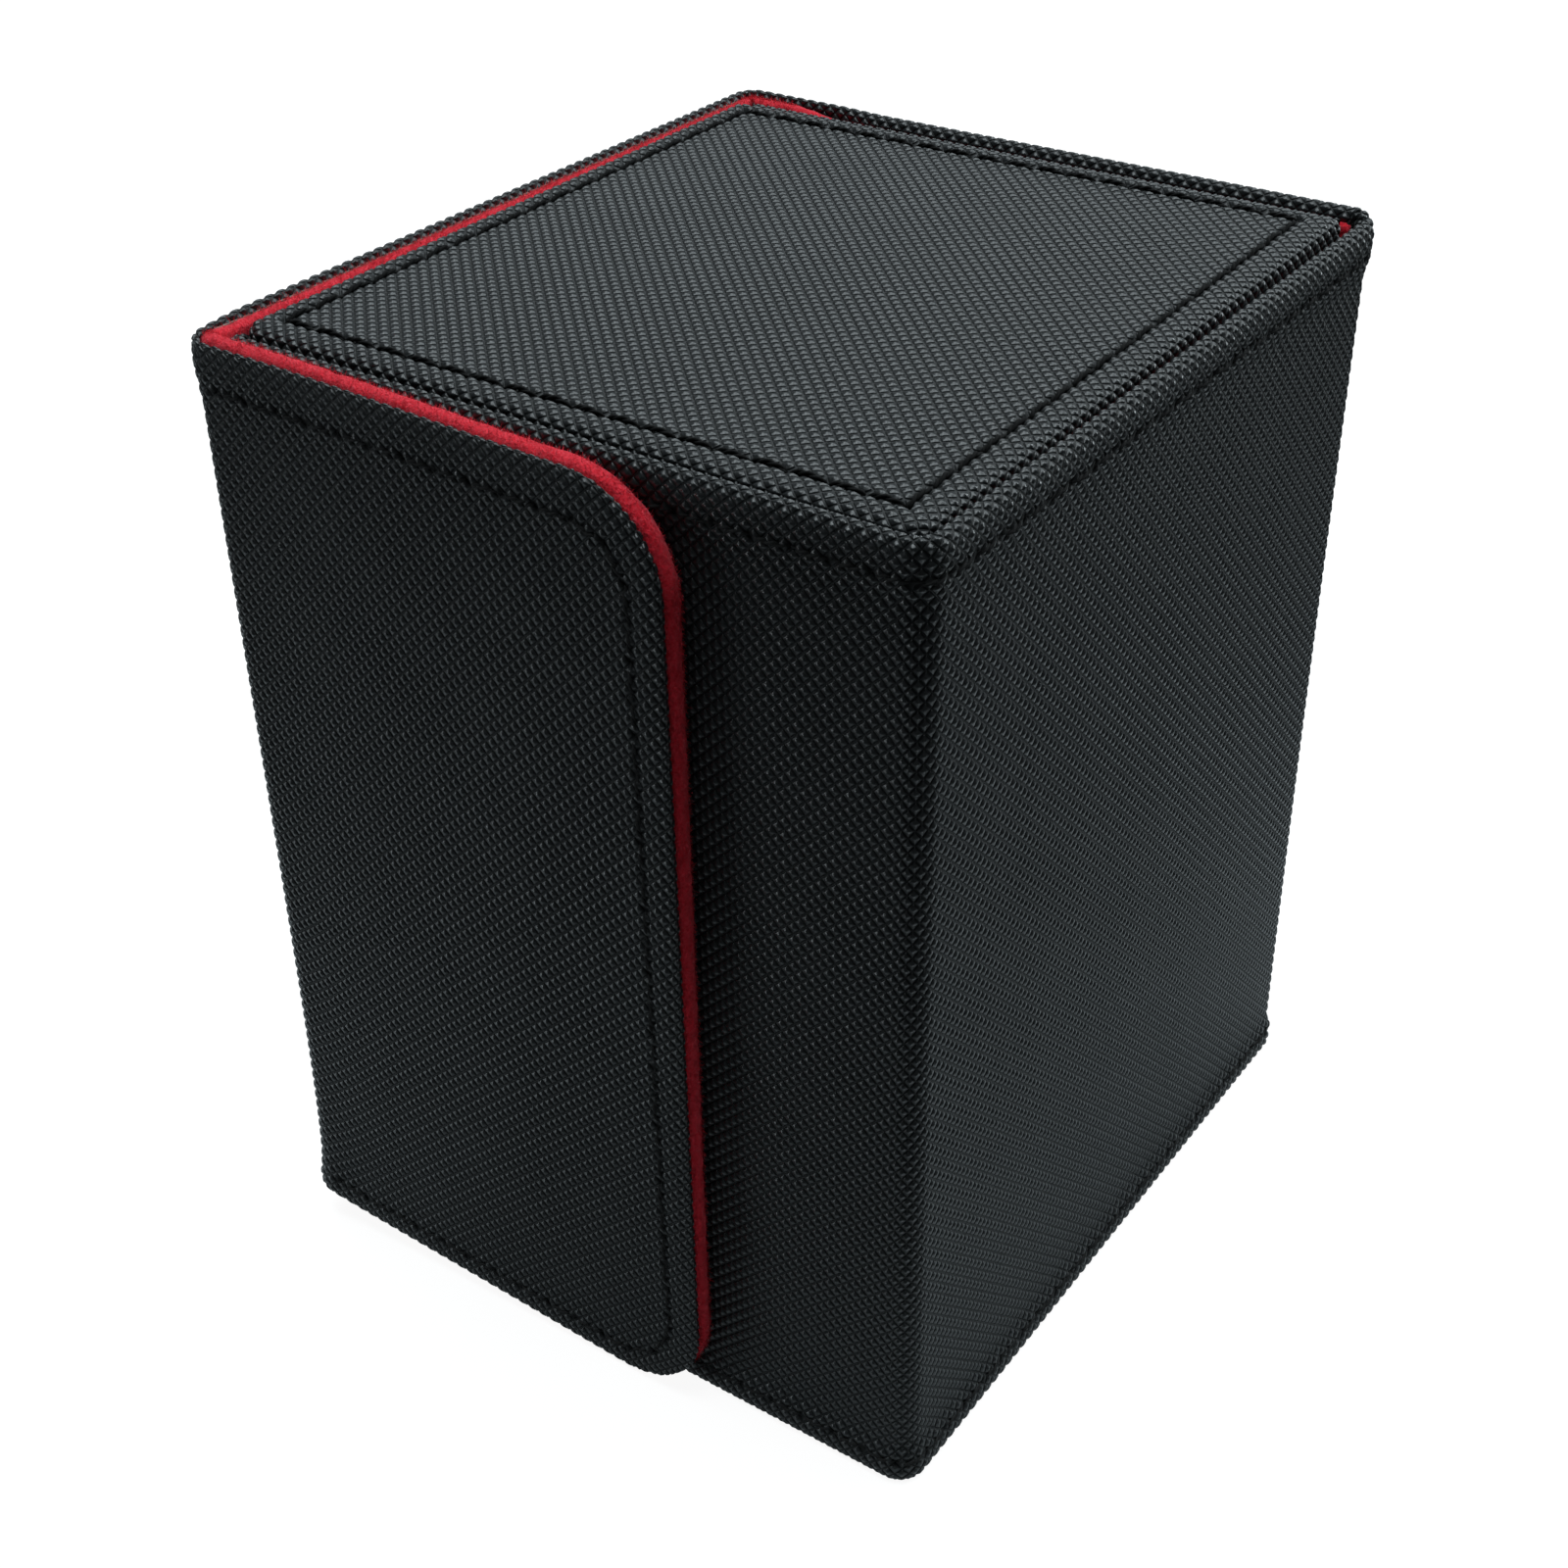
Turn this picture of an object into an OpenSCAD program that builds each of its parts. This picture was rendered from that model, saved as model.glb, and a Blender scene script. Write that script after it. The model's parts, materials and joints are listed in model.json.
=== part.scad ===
// Side-opening deck box for sleeved cards.
// A lined board tray stands inside one leatherette wrap. The wrap carries on past the back-left
// corner as a side panel and past the front-left corner as a magnetic flap, and a stitched lid
// lies in the top of the tray. Lengths are in millimetres, +Z is up and the flap faces -Y.

/* [Outside] */
// Width across the side panel and the right wall
box_w = 76.5; // [70:0.5:90]
// Depth from the face of the flap to the back face
box_d = 86.5; // [50:0.5:110]
// Height of the back wall and the side panel
box_h = 104.5; // [95:0.5:120]
// How far the front and right walls stop below the back wall
rim_drop = 0.8; // [0.4:0.1:1.2]
// Outer radius of the front-right corner
front_corner_r = 3; // [2:0.1:6]
// Outer radius of the back-right corner
back_corner_r = 2.5; // [1.8:0.1:3]

/* [Layers] */
// Embossed leatherette skin
skin_t = 0.7; // [0.6:0.05:0.8]
// Greyboard in the tray walls and the base
board_t = 1.8; // [1.4:0.1:2.2]
// Greyboard in the lid
lid_board_t = 1.5; // [1:0.1:1.8]
// Thin board in the side panel and the flap
cover_board_t = 0.5; // [0.4:0.05:0.6]
// Microfibre lining of the tray and the lid
lining_t = 1; // [0.6:0.1:1.2]
// Thicker microfibre on the side panel, the flap and the back wall
cover_lining_t = 1.1; // [0.9:0.1:1.3]

/* [Hems and stitching] */
// Height of the turned hems on the tray walls
hem_h = 4.6; // [4.2:0.1:6]
// Distance of a seam from the edge that it follows
seam_inset = 3.4; // [3:0.1:3.8]
// Width of the sewing thread
thread_w = 0.5; // [0.3:0.1:0.6]
// Depth of the groove that the thread lies in
thread_d = 0.35; // [0.2:0.05:0.4]
// Height of the lower seam of the tray walls above the ground
bottom_seam_z = 2.6; // [2:0.1:3.5]

/* [Side panel and flap] */
// Outer radius of the two soft folds
fold_r = 2.6; // [2.4:0.1:3]
// Length of each leg of a fold, from the sharp corner
fold_leg = 3.5; // [3.2:0.1:4]
// Height of the side panel above the ground
panel_lift = 0.4; // [0.3:0.1:1]
// How far the flap reaches across the front
flap_reach = 53; // [40:0.5:60]
// Height of the flap's lower edge above the ground
flap_lift = 1; // [0.5:0.1:2]
// Gap between the closed side panel and the tray
side_gap = 0.3; // [0.3:0.1:1]
// Gap between the closed flap and the front wall
flap_gap = 0.3; // [0.3:0.05:0.6]
// How far the flap stops below the side panel
flap_drop = 1.5; // [1:0.1:2.5]
// Radius of the flap's two free corners
flap_corner_r = 10; // [6:0.5:14]

/* [Lid] */
// How far the lid's top lies below the rims of the front and right walls
lid_sink = 0.4; // [0:0.05:0.6]
// Gap round the lid
lid_gap = 0.5; // [0.4:0.05:0.6]
// Radius of the lid's corners
lid_corner_r = 2; // [1.8:0.1:2.4]
// Distance of the lid's seam from its left edge, which is less than on the other sides
lid_seam_left = 2; // [1.6:0.1:3.4]
// Gap between the lid and the ledge that it rests over
ledge_gap = 0.3; // [0.2:0.05:0.4]

/* [Magnets] */
// Radius of the disc magnets
magnet_r = 5; // [3:0.5:6]
// Thickness of the disc magnets
magnet_t = 1; // [0.8:0.05:1.1]
// Distance of the magnets from the flap's free edge
magnet_inset = 9; // [8:0.5:14]
// Height of the lower and upper magnet above the ground
magnet_z = [27, 77];

/* [Hidden] */
$fn = 64;

black = "#2b2e31";
thread_black = "#121315";
red = "#c41f33";
greyboard = "#9a8f80";
steel = "#b9bcc0";

far = 400;
pocket_gap = 0.1;
lining_drop = 0.6;
strip_tuck = 7;
hem_t = 2 * skin_t;

// Depths of the cover's layers below its outer face
cover_skin_end = skin_t + cover_board_t;
cover_t = cover_skin_end + cover_lining_t;

// Tray faces: the wrap's hems lie between the outer and the inner faces
tray_x0 = cover_t + side_gap;
wall_y = cover_t + flap_gap;
hem_x1 = box_w - hem_t;
hem_y0 = wall_y + hem_t;
hem_y1 = box_d - hem_t;
cover_y1 = hem_y1 - cover_lining_t;
board_x0 = tray_x0 + skin_t;
board_x1 = hem_x1 - board_t;
board_y0 = hem_y0 + board_t;
board_y1 = cover_y1 - board_t;
bay_x1 = board_x1 - lining_t;
bay_y0 = board_y0 + lining_t;
bay_y1 = board_y1 - lining_t;

// Heights
base_board_top = skin_t + board_t;
bay_floor = base_board_top + lining_t;
rim_z = box_h - rim_drop;
lid_top = rim_z - lid_sink;
lid_skin_h = skin_t + lid_board_t;
lid_bottom = lid_top - lid_skin_h - lining_t;
ledge_z = lid_bottom - ledge_gap;
wall_board_top = ledge_z - skin_t;
wall_seams = [bottom_seam_z, rim_z - seam_inset - thread_w];

// Lid outline
lid_x0 = tray_x0;
lid_x1 = hem_x1 - lid_gap;
lid_y0 = hem_y0 + lid_gap;
lid_y1 = cover_y1 - 2 * lid_gap;
strip_leg_bottom = wall_board_top - strip_tuck;
strip_y0 = cover_y1 - skin_t;

// Moves the corner-based layout so that the origin is the middle of the ground face
module in_frame() translate([-box_w / 2, -box_d / 2, 0]) children();

module block(x, y, z) translate([x[0], y[0], z[0]]) cube([x[1] - x[0], y[1] - y[0], z[1] - z[0]]);

module slab(z) translate([0, 0, z[0]]) linear_extrude(z[1] - z[0]) children();

// Plan of the tray set in from its outer faces, with its two round corners on the right
module tray_plan(inset) {
    front_r = front_corner_r - inset;
    back_r = back_corner_r - inset;
    right = box_w - inset;
    front = wall_y + inset;
    back = box_d - inset;
    translate([tray_x0, front]) square([right - front_r - tray_x0, back - front]);
    translate([tray_x0, front + front_r]) square([right - tray_x0, back - front - front_r - back_r]);
    translate([tray_x0, back - back_r - 1]) square([right - back_r - tray_x0, back_r + 1]);
    translate([right - front_r, front + front_r]) circle(front_r);
    translate([right - back_r, back - back_r]) circle(back_r);
}

// Band that follows the tray walls between two depths, open on the left
module tray_band(from, to) difference() {
    tray_plan(from);
    tray_plan(to);
}

// Keeps what lies inside the wrap's hems, round corners and all
module inside_wrap() intersection() {
    union() children();
    slab([0, far]) tray_plan(hem_t);
}

// Leatherette wrap with thick hems at the top and bottom and a thinner, set-back middle
module wrap(top) difference() {
    slab([0, top]) tray_band(0, hem_t);
    difference() {
        slab([hem_h, rim_z - hem_h]) tray_band(-1, skin_t);
        block([tray_x0 - 1, tray_x0 + hem_h], [0, hem_y0 + 1], [0, far]);
    }
    for (z = wall_seams) slab([z, z + thread_w]) tray_band(-1, thread_d);
}

// Board lined on its bay side, with the lining turned over its top edge
module lined_wall(face, cap) {
    block(face[0], face[1], [bay_floor, ledge_z]);
    block(cap[0], cap[1], [wall_board_top, ledge_z]);
}

// Square with side s and one round corner at the origin
module one_round(s, r) {
    translate([r, 0]) square([s - r, s]);
    translate([0, r]) square([s, s - r]);
    translate([r, r]) circle(r);
}

// Sheet bent round an outside corner, between two depths below the outer faces
module fold(from, to, z) slab(z) intersection() {
    square(fold_leg);
    difference() {
        translate([from, from]) one_round(fold_leg, fold_r - from);
        translate([to, to]) one_round(fold_leg, fold_r - to);
    }
}

module at_back_left() translate([0, box_d, 0]) mirror([0, 1, 0]) children();

// Flap outline in the plane of the front face, set in from its top, bottom and free edges
module flap_outline(inset = 0) {
    r = flap_corner_r - inset;
    x1 = flap_reach - inset;
    z0 = flap_lift + inset;
    z1 = box_h - flap_drop - inset;
    translate([fold_leg, z0]) square([x1 - r - fold_leg, z1 - z0]);
    translate([fold_leg, z0 + r]) square([x1 - fold_leg, z1 - z0 - 2 * r]);
    for (z = [z0 + r, z1 - r]) translate([x1 - r, z]) circle(r);
}

// Stands a front-face outline up between two depths behind the flap's face
module front_layer(from, to) translate([0, to, 0]) rotate([90, 0, 0]) linear_extrude(to - from) children();

module magnet_discs(r, from, to) front_layer(from, to)
    for (z = magnet_z) translate([flap_reach - magnet_inset, z]) circle(r);

module rounded_rect(x, y, r) {
    translate([x[0] + r, y[0]]) square([x[1] - x[0] - 2 * r, y[1] - y[0]]);
    translate([x[0], y[0] + r]) square([x[1] - x[0], y[1] - y[0] - 2 * r]);
    for (cx = [x[0] + r, x[1] - r], cy = [y[0] + r, y[1] - r]) translate([cx, cy]) circle(r);
}

module lid_outline(inset = 0) rounded_rect(
    [lid_x0 + inset, lid_x1 - inset], [lid_y0 + inset, lid_y1 - inset], max(0.3, lid_corner_r - inset)
);

module lid_seam_plan(more) rounded_rect(
    [lid_x0 + lid_seam_left + more, lid_x1 - seam_inset - more],
    [lid_y0 + seam_inset + more, lid_y1 - seam_inset - more],
    0.3
);

// Ring of thread round the lid, and the groove that it fills
module lid_seam(z) slab(z) difference() {
    lid_seam_plan(0);
    lid_seam_plan(thread_w);
}

module base_outline(inset) translate([tray_x0 + inset, hem_y0 + inset])
    square([hem_x1 - tray_x0 - 2 * inset, cover_y1 - hem_y0 - 2 * inset]);

module base_seam(z) slab(z) difference() {
    base_outline(seam_inset);
    base_outline(seam_inset + thread_w);
}

// ---- tray: base ----

module base_skin() color(black) inside_wrap() difference() {
    union() {
        slab([0, skin_t]) base_outline(0);
        block([tray_x0, board_x0], [hem_y0, cover_y1], [0, base_board_top]);
    }
    base_seam([-1, thread_d]);
}

module base_board() color(greyboard) inside_wrap()
    block([board_x0, hem_x1], [hem_y0, cover_y1], [skin_t, base_board_top]);

module base_lining() color(red)
    block([tray_x0, board_x1], [board_y0, board_y1], [base_board_top, bay_floor]);

module base_stitching() color(thread_black) base_seam([0, thread_d]);

// ---- tray: walls ----

module front_wall_board() color(greyboard) inside_wrap() difference() {
    block([board_x0, board_x1], [hem_y0, board_y0], [base_board_top, wall_board_top]);
    magnet_discs(magnet_r + pocket_gap, hem_y0 - 1, hem_y0 + magnet_t + pocket_gap);
}

module right_wall_board() color(greyboard) inside_wrap()
    block([board_x1, hem_x1], [hem_y0, cover_y1], [base_board_top, wall_board_top]);

// A rebate in its back face takes the leg of the lid's hinge strip
module back_wall_board() color(greyboard) difference() {
    block([board_x0, board_x1], [board_y1, cover_y1], [base_board_top, wall_board_top]);
    block([0, box_w], [strip_y0, box_d], [strip_leg_bottom, far]);
}

// Its free left edge is rolled round the end of the board
module front_wall_skin() color(black) {
    intersection() {
        wrap(rim_z);
        block([0, box_w - front_corner_r], [0, hem_y0], [0, far]);
    }
    block([tray_x0, board_x0], [hem_y0, board_y0], [base_board_top, wall_board_top]);
}

module right_wall_skin() color(black) intersection() {
    wrap(rim_z);
    block([box_w - front_corner_r, box_w], [0, box_d - back_corner_r], [0, far]);
}

module back_wall_skin() color(black) intersection() {
    wrap(box_h);
    block([fold_leg, box_w], [box_d - back_corner_r, box_d], [0, far]);
}

module front_wall_lining() color(red) inside_wrap()
    lined_wall([[tray_x0, board_x1], [board_y0, bay_y0]], [[board_x0, board_x1], [hem_y0, board_y0]]);

module right_wall_lining() color(red) inside_wrap()
    lined_wall([[bay_x1, board_x1], [bay_y0, bay_y1]], [[board_x1, hem_x1], [hem_y0, strip_y0]]);

// Its left edge is turned round the end of the board
module back_wall_lining() color(red) {
    lined_wall([[tray_x0, board_x1], [bay_y1, board_y1]], [[board_x0, board_x1], [board_y1, strip_y0]]);
    block([tray_x0, board_x0], [board_y1, cover_y1], [base_board_top, ledge_z]);
}

// Lining of the cover, glued between the wrap and the tray's back board
module back_cover_lining() color(red) inside_wrap()
    block([fold_leg, hem_x1 - lid_gap], [cover_y1, hem_y1], [lining_drop, box_h - lining_drop]);

module front_wall_magnets() color(steel) magnet_discs(magnet_r, hem_y0, hem_y0 + magnet_t);

// On the back wall the thread starts where the fold ends
module wall_stitching() color(thread_black) difference() {
    for (z = wall_seams) slab([z, z + thread_w]) tray_band(0, thread_d);
    block([0, fold_leg], [box_d - hem_t, box_d + 1], [0, far]);
}

// ---- folds and hinge strip ----

module back_fold_skin() color(black) at_back_left() fold(0, skin_t, [panel_lift, box_h]);

module back_fold_lining() color(red)
    at_back_left() fold(cover_skin_end, cover_t, [panel_lift + lining_drop, box_h - lining_drop]);

module front_fold_skin() color(black) fold(0, skin_t, [flap_lift, box_h - flap_drop]);

module front_fold_lining() color(red) fold(cover_skin_end, cover_t, [flap_lift, box_h - flap_drop]);

// Bent strip: its top leg meets the lid's back edge and its long leg is glued behind the back board
module lid_hinge_strip() color(black) {
    block([board_x0, board_x1], [lid_y1, cover_y1], [lid_top - skin_t, lid_top]);
    block([board_x0, board_x1], [strip_y0, cover_y1], [strip_leg_bottom, lid_top - skin_t]);
}

// ---- side panel ----

panel_y = [fold_leg, box_d - fold_leg];
panel_z = [panel_lift, box_h];
panel_seams = [panel_lift + seam_inset - thread_w, box_h - seam_inset - thread_w];

module side_panel_skin() color(black) difference() {
    block([0, cover_skin_end], panel_y, panel_z);
    block([skin_t, cover_skin_end + 1], panel_y + [-1, 1], panel_z + [skin_t, -skin_t]);
    for (z = panel_seams) block([-1, thread_d], panel_y + [-1, 1], [z, z + thread_w]);
}

module side_panel_board() color(greyboard)
    block([skin_t, cover_skin_end], panel_y, panel_z + [skin_t, -skin_t]);

module side_panel_lining() color(red)
    block([cover_skin_end, cover_t], panel_y, panel_z + [lining_drop, -lining_drop]);

module side_panel_stitching() color(thread_black)
    for (z = panel_seams) block([0, thread_d], panel_y, [z, z + thread_w]);

// ---- flap ----

module flap_seam(from, to) front_layer(from, to) difference() {
    flap_outline(seam_inset);
    flap_outline(seam_inset + thread_w);
}

module flap_skin() color(black) difference() {
    front_layer(0, cover_skin_end) flap_outline();
    front_layer(skin_t, cover_skin_end + 1) flap_outline(skin_t);
    flap_seam(-1, thread_d);
}

module flap_board() color(greyboard) difference() {
    front_layer(skin_t, cover_skin_end) flap_outline(skin_t);
    magnet_discs(magnet_r + pocket_gap, 0, cover_t);
}

module flap_lining() color(red) difference() {
    front_layer(cover_skin_end, cover_t) flap_outline();
    magnet_discs(magnet_r + pocket_gap, 0, skin_t + magnet_t + pocket_gap);
}

module flap_stitching() color(thread_black) flap_seam(0, thread_d);

module flap_magnets() color(steel) magnet_discs(magnet_r, skin_t, skin_t + magnet_t);

// ---- lid ----

module lid_skin() color(black) difference() {
    slab([lid_top - lid_skin_h, lid_top]) lid_outline();
    slab([lid_top - lid_skin_h - 1, lid_top - skin_t]) lid_outline(skin_t);
    lid_seam([lid_top - thread_d, lid_top + 1]);
}

module lid_board() color(greyboard) slab([lid_top - lid_skin_h, lid_top - skin_t]) lid_outline(skin_t);

module lid_lining() color(red) slab([lid_bottom, lid_bottom + lining_t]) lid_outline();

module lid_stitching() color(thread_black) lid_seam([lid_top - thread_d, lid_top]);

in_frame() base_skin();
in_frame() base_board();
in_frame() base_lining();
in_frame() base_stitching();
in_frame() front_wall_board();
in_frame() right_wall_board();
in_frame() back_wall_board();
in_frame() front_wall_skin();
in_frame() right_wall_skin();
in_frame() back_wall_skin();
in_frame() front_wall_lining();
in_frame() right_wall_lining();
in_frame() back_wall_lining();
in_frame() back_cover_lining();
in_frame() front_wall_magnets();
in_frame() wall_stitching();
in_frame() back_fold_skin();
in_frame() back_fold_lining();
in_frame() lid_hinge_strip();
in_frame() side_panel_skin();
in_frame() side_panel_board();
in_frame() side_panel_lining();
in_frame() side_panel_stitching();
in_frame() front_fold_skin();
in_frame() front_fold_lining();
in_frame() flap_skin();
in_frame() flap_board();
in_frame() flap_lining();
in_frame() flap_stitching();
in_frame() flap_magnets();
in_frame() lid_skin();
in_frame() lid_board();
in_frame() lid_lining();
in_frame() lid_stitching();
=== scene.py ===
"""Side-opening deck box: embossed leatherette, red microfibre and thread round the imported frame.

Points are worked out in millimetres, in the frame's own axes, and turned into metres when a
mesh is made. One sheet of leatherette runs round the whole box, so a point on it is given by
u, the way along a route seen from above, v, the height, and a depth below the outer face.
"""
import json

import bpy
import numpy as np
from mathutils import Matrix, Vector


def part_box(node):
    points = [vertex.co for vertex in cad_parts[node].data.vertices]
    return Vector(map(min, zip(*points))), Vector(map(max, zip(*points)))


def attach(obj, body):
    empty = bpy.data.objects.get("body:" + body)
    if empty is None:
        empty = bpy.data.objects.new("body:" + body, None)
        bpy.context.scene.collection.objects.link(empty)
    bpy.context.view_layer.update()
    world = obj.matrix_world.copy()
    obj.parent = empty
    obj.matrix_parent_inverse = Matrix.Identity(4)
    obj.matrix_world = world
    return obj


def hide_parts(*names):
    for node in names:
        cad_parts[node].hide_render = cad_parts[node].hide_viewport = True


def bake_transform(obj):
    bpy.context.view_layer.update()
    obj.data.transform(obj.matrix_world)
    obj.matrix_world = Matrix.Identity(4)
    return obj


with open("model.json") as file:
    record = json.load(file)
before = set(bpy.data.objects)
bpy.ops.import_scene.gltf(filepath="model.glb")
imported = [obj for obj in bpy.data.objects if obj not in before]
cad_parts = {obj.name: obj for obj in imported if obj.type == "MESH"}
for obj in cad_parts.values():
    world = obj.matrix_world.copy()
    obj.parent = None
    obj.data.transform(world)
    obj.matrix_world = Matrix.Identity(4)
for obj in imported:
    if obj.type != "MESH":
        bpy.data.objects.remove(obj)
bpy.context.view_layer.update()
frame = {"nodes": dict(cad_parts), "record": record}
random = np.random.default_rng(7)
MM = 0.001


def low(node):
    return np.array(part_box(node)[0]) / MM


def high(node):
    return np.array(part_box(node)[1]) / MM


# ---- sizes that come from the frame ----
LID_SLACK = 0.3  # the thick rims leave the lid this much less room than the frame's
LEFT, FRONT = low("side_panel_skin")[0], low("flap_skin")[1]
RIGHT, BACK = high("right_wall_skin")[0], high("back_wall_skin")[1]
RIM, BACK_RIM = high("right_wall_skin")[2], high("back_wall_skin")[2]
TRAY_X, WALL_Y = low("front_wall_skin")[:2]
FLAP_END = high("flap_skin")[0]
FLAP_FOOT, PANEL_FOOT = low("flap_skin")[2], low("side_panel_skin")[2]
COVER_SKIN = high("side_panel_skin")[0] - LEFT
COVER = high("side_panel_lining")[0] - LEFT
INNER_FRONT, INNER_BACK = high("front_wall_lining")[1], low("back_wall_lining")[1]
BAY_RIGHT = low("right_wall_lining")[0]
FLOOR_Z, LEDGE_Z = high("base_lining")[2], high("front_wall_lining")[2]
LID_LOW = low("lid_skin") + (0, LID_SLACK, 0)
LID_HIGH = high("lid_skin") - (LID_SLACK, 0, 0)

# ---- sizes of the leather work ----
GRAIN = 1.44  # across the corners of one embossed square
STEPS = 4  # mesh steps across the corners of one embossed square
GRAIN_DEPTH = 0.2
GRAIN_SHOULDER = 0.8  # height of a square between its middle and its grooves, in grain depths
GRAIN_UNEVEN = 0.12  # by how much of itself the depth varies
GROOVE = 0.17  # half width of a groove, in embossed squares
PILLOW = 0.37  # height of the shaded relief in millimetres
CLOTH = 0.45  # mesh step of the microfibre
NAP = 0.05  # unevenness of the microfibre
SEAM = 3.65  # from an edge to the middle of its seam
HEM = 4.6  # width of a turned hem
HEM_SLOPE = 1.1  # how much wider than the hem the slope down to the single sheet ends
HEM_CROWN = 0.12  # how far the hem swells between its edge and its seam
WALL_RECESS, COVER_RECESS, LID_RECESS = 0.38, 0.16, 0.25  # from the hem down to the single sheet
SEAM_DIP, SEAM_WIDTH, SEAM_SHADE_WIDTH = 0.34, 0.55, 0.42  # half widths
LOOP_SEAM = 0.15  # how deep the seams of the walls and the cover are, to the lid's
HOLE_DIP, HOLE_R, HOLE_REACH = 0.22, 0.55, 1.5
FOOT_SEAM_WALL = 2.85  # from the ground to the walls' lower seam
FLAP_TOP_SEAM, FLAP_FOOT_SEAM = 4.5, 2.7  # from the flap's edges to their seams
STITCH_PITCH = 3.7
STITCH_LENGTH = 3.4
STITCH_DEEP, STITCH_HIGH = 0.75, 0.16  # depth of a stitch's ends and of its middle
PLY_R, PLY_OFFSET = 0.17, 0.13  # two plies twisted into one thread
PLY_TURNS = 1.6  # twists of the plies in one stitch
FRONT_CORNER_R, BACK_CORNER_R, FOLD_R, FLAP_CORNER_R = 3, 2.5, 2.6, 10
FLAP_SAG = 1.3  # how much lower the flap's foot is at its free end
FOLD_LIFT, FOLD_CURL = 1.4, 1.3  # how far the foot of the front fold is lifted: evenly, in a curl
FOLD_FLARE = 0.8  # how far the foot of the front fold stands out
CURL_WIDTH, FLARE_HEIGHT = 4, 10  # how far from the fold's foot the curl and the flare fade out
FLAP_TOP_DROP = 0.6  # how much lower than the walls the flap's top edge starts
FLAP_TOP_SLOPE = 1.3  # how much lower still it is at its free end
PLAIN_R = 1.1  # the corner of the wrap beside the flap
SPLIT = 8  # how far before a soft corner its bending piece begins
FLAP_START = 10  # width over which the side panel's sizes turn into the flap's
PANEL_START = 8  # width over which the walls' sizes turn into the side panel's
BEND = 3.5  # from a corner to where its fold stops bending


def smooth(t):
    t = np.clip(t, 0, 1)
    return t * t * (3 - 2 * t)


# ---- routes: plan lines of straight runs and round corners ----
class Route:
    """A line seen from above that turns left at each corner; its outer side is on its right."""

    def __init__(self, points, radii):
        points = [np.array(p, float) for p in points]
        self.starts, self.at_start, self.heading, self.turn = [], [], [], []
        u, here = 0.0, points[0]
        for i, radius in enumerate(list(radii) + [0]):
            way = points[i + 1] - here
            length = np.hypot(*way)
            way = way / length
            angle = np.arctan2(way[1], way[0])
            run = length - radius
            self._add(u, here, angle, 0)
            u, here = u + run, here + way * run
            if radius:
                self._add(u, here, angle, 1 / radius)
                u += radius * np.pi / 2
                here = points[i + 1] + radius * np.array([-way[1], way[0]])
        self.length = u

    def _add(self, u, here, angle, turn):
        self.starts.append(u)
        self.at_start.append(here)
        self.heading.append(angle)
        self.turn.append(turn)

    def at(self, u):
        """Point and outward direction at each u; past either end the route runs straight on."""
        u = np.asarray(u, float)
        i = np.clip(np.searchsorted(self.starts, u, side="right") - 1, 0, len(self.starts) - 1)
        ahead = u - np.array(self.starts)[i]
        turned = np.array(self.turn)[i] * ahead
        angle = np.array(self.heading)[i]
        chord = ahead * np.sinc(turned / (2 * np.pi))
        middle = angle + turned / 2
        way = np.stack([np.cos(middle), np.sin(middle)], -1)
        xy = np.array(self.at_start)[i] + chord[..., None] * way
        out = np.stack([np.sin(angle + turned), -np.cos(angle + turned)], -1)
        return xy, out


# The leatherette goes front wall, right wall, back wall, side panel, flap
LOOP = Route(
    [(TRAY_X, WALL_Y), (RIGHT, WALL_Y), (RIGHT, BACK), (LEFT, BACK), (LEFT, FRONT), (FLAP_END, FRONT)],
    [FRONT_CORNER_R, BACK_CORNER_R, FOLD_R, FOLD_R],
)
FOLD_ARC = FOLD_R * np.pi / 2
U_FRONT_CORNER = LOOP.starts[1]
U_BACK_CORNER = LOOP.starts[3]
U_BACK_CORNER_END = LOOP.starts[4]
U_BACK_FOLD = LOOP.starts[5] - SPLIT + FOLD_R
U_FRONT_FOLD = LOOP.starts[7] - SPLIT + FOLD_R
U_FLAP = LOOP.starts[8]
U_FOLD_MIDDLE = (LOOP.starts[7] + U_FLAP) / 2
COLUMN = LOOP.length / (STEPS * round(LOOP.length / GRAIN))
ROW = BACK_RIM / (STEPS * round(BACK_RIM / GRAIN))


def into_flap(u):
    """0 at the side panel and 1 on the flap."""
    return smooth((u - U_FRONT_FOLD) / FLAP_START)


def rim_height(u):
    """Top edge of the leatherette: low at the front and right walls and along the flap."""
    z = RIM + (BACK_RIM - RIM) * smooth((u - U_BACK_CORNER - 0.5) / 3)
    slope = smooth((u - U_FLAP) / (LOOP.length - U_FLAP))
    return z - FLAP_TOP_DROP * into_flap(u) - FLAP_TOP_SLOPE * slope


def at_front_fold(u):
    return np.exp(-(((u - U_FOLD_MIDDLE) / CURL_WIDTH) ** 2))


def foot_height(u):
    """Bottom edge of the leatherette: on the ground at the walls, lifted at panel and flap."""
    panel = smooth((u - U_BACK_FOLD + PANEL_START) / PANEL_START)
    flap = into_flap(u)
    slope = np.clip((u - U_FOLD_MIDDLE) / (LOOP.length - U_FOLD_MIDDLE), 0, 1)
    along_panel = np.clip((u - U_BACK_FOLD) / (U_FOLD_MIDDLE - U_BACK_FOLD), 0, 1)
    lift = FOLD_LIFT * along_panel * (1 - slope) + FOLD_CURL * at_front_fold(u)
    return PANEL_FOOT * panel + (FLAP_FOOT - PANEL_FOOT) * flap - FLAP_SAG * slope + lift


def on_loop(u, v, depth):
    xy, out = LOOP.at(u)
    foot = foot_height(u)
    z = foot + v / BACK_RIM * (rim_height(u) - foot)
    depth = depth - FOLD_FLARE * at_front_fold(u) * np.exp(-np.maximum(v, 0) / FLARE_HEIGHT)
    return np.concatenate([xy - out * depth[..., None], z[..., None]], -1)


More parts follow.
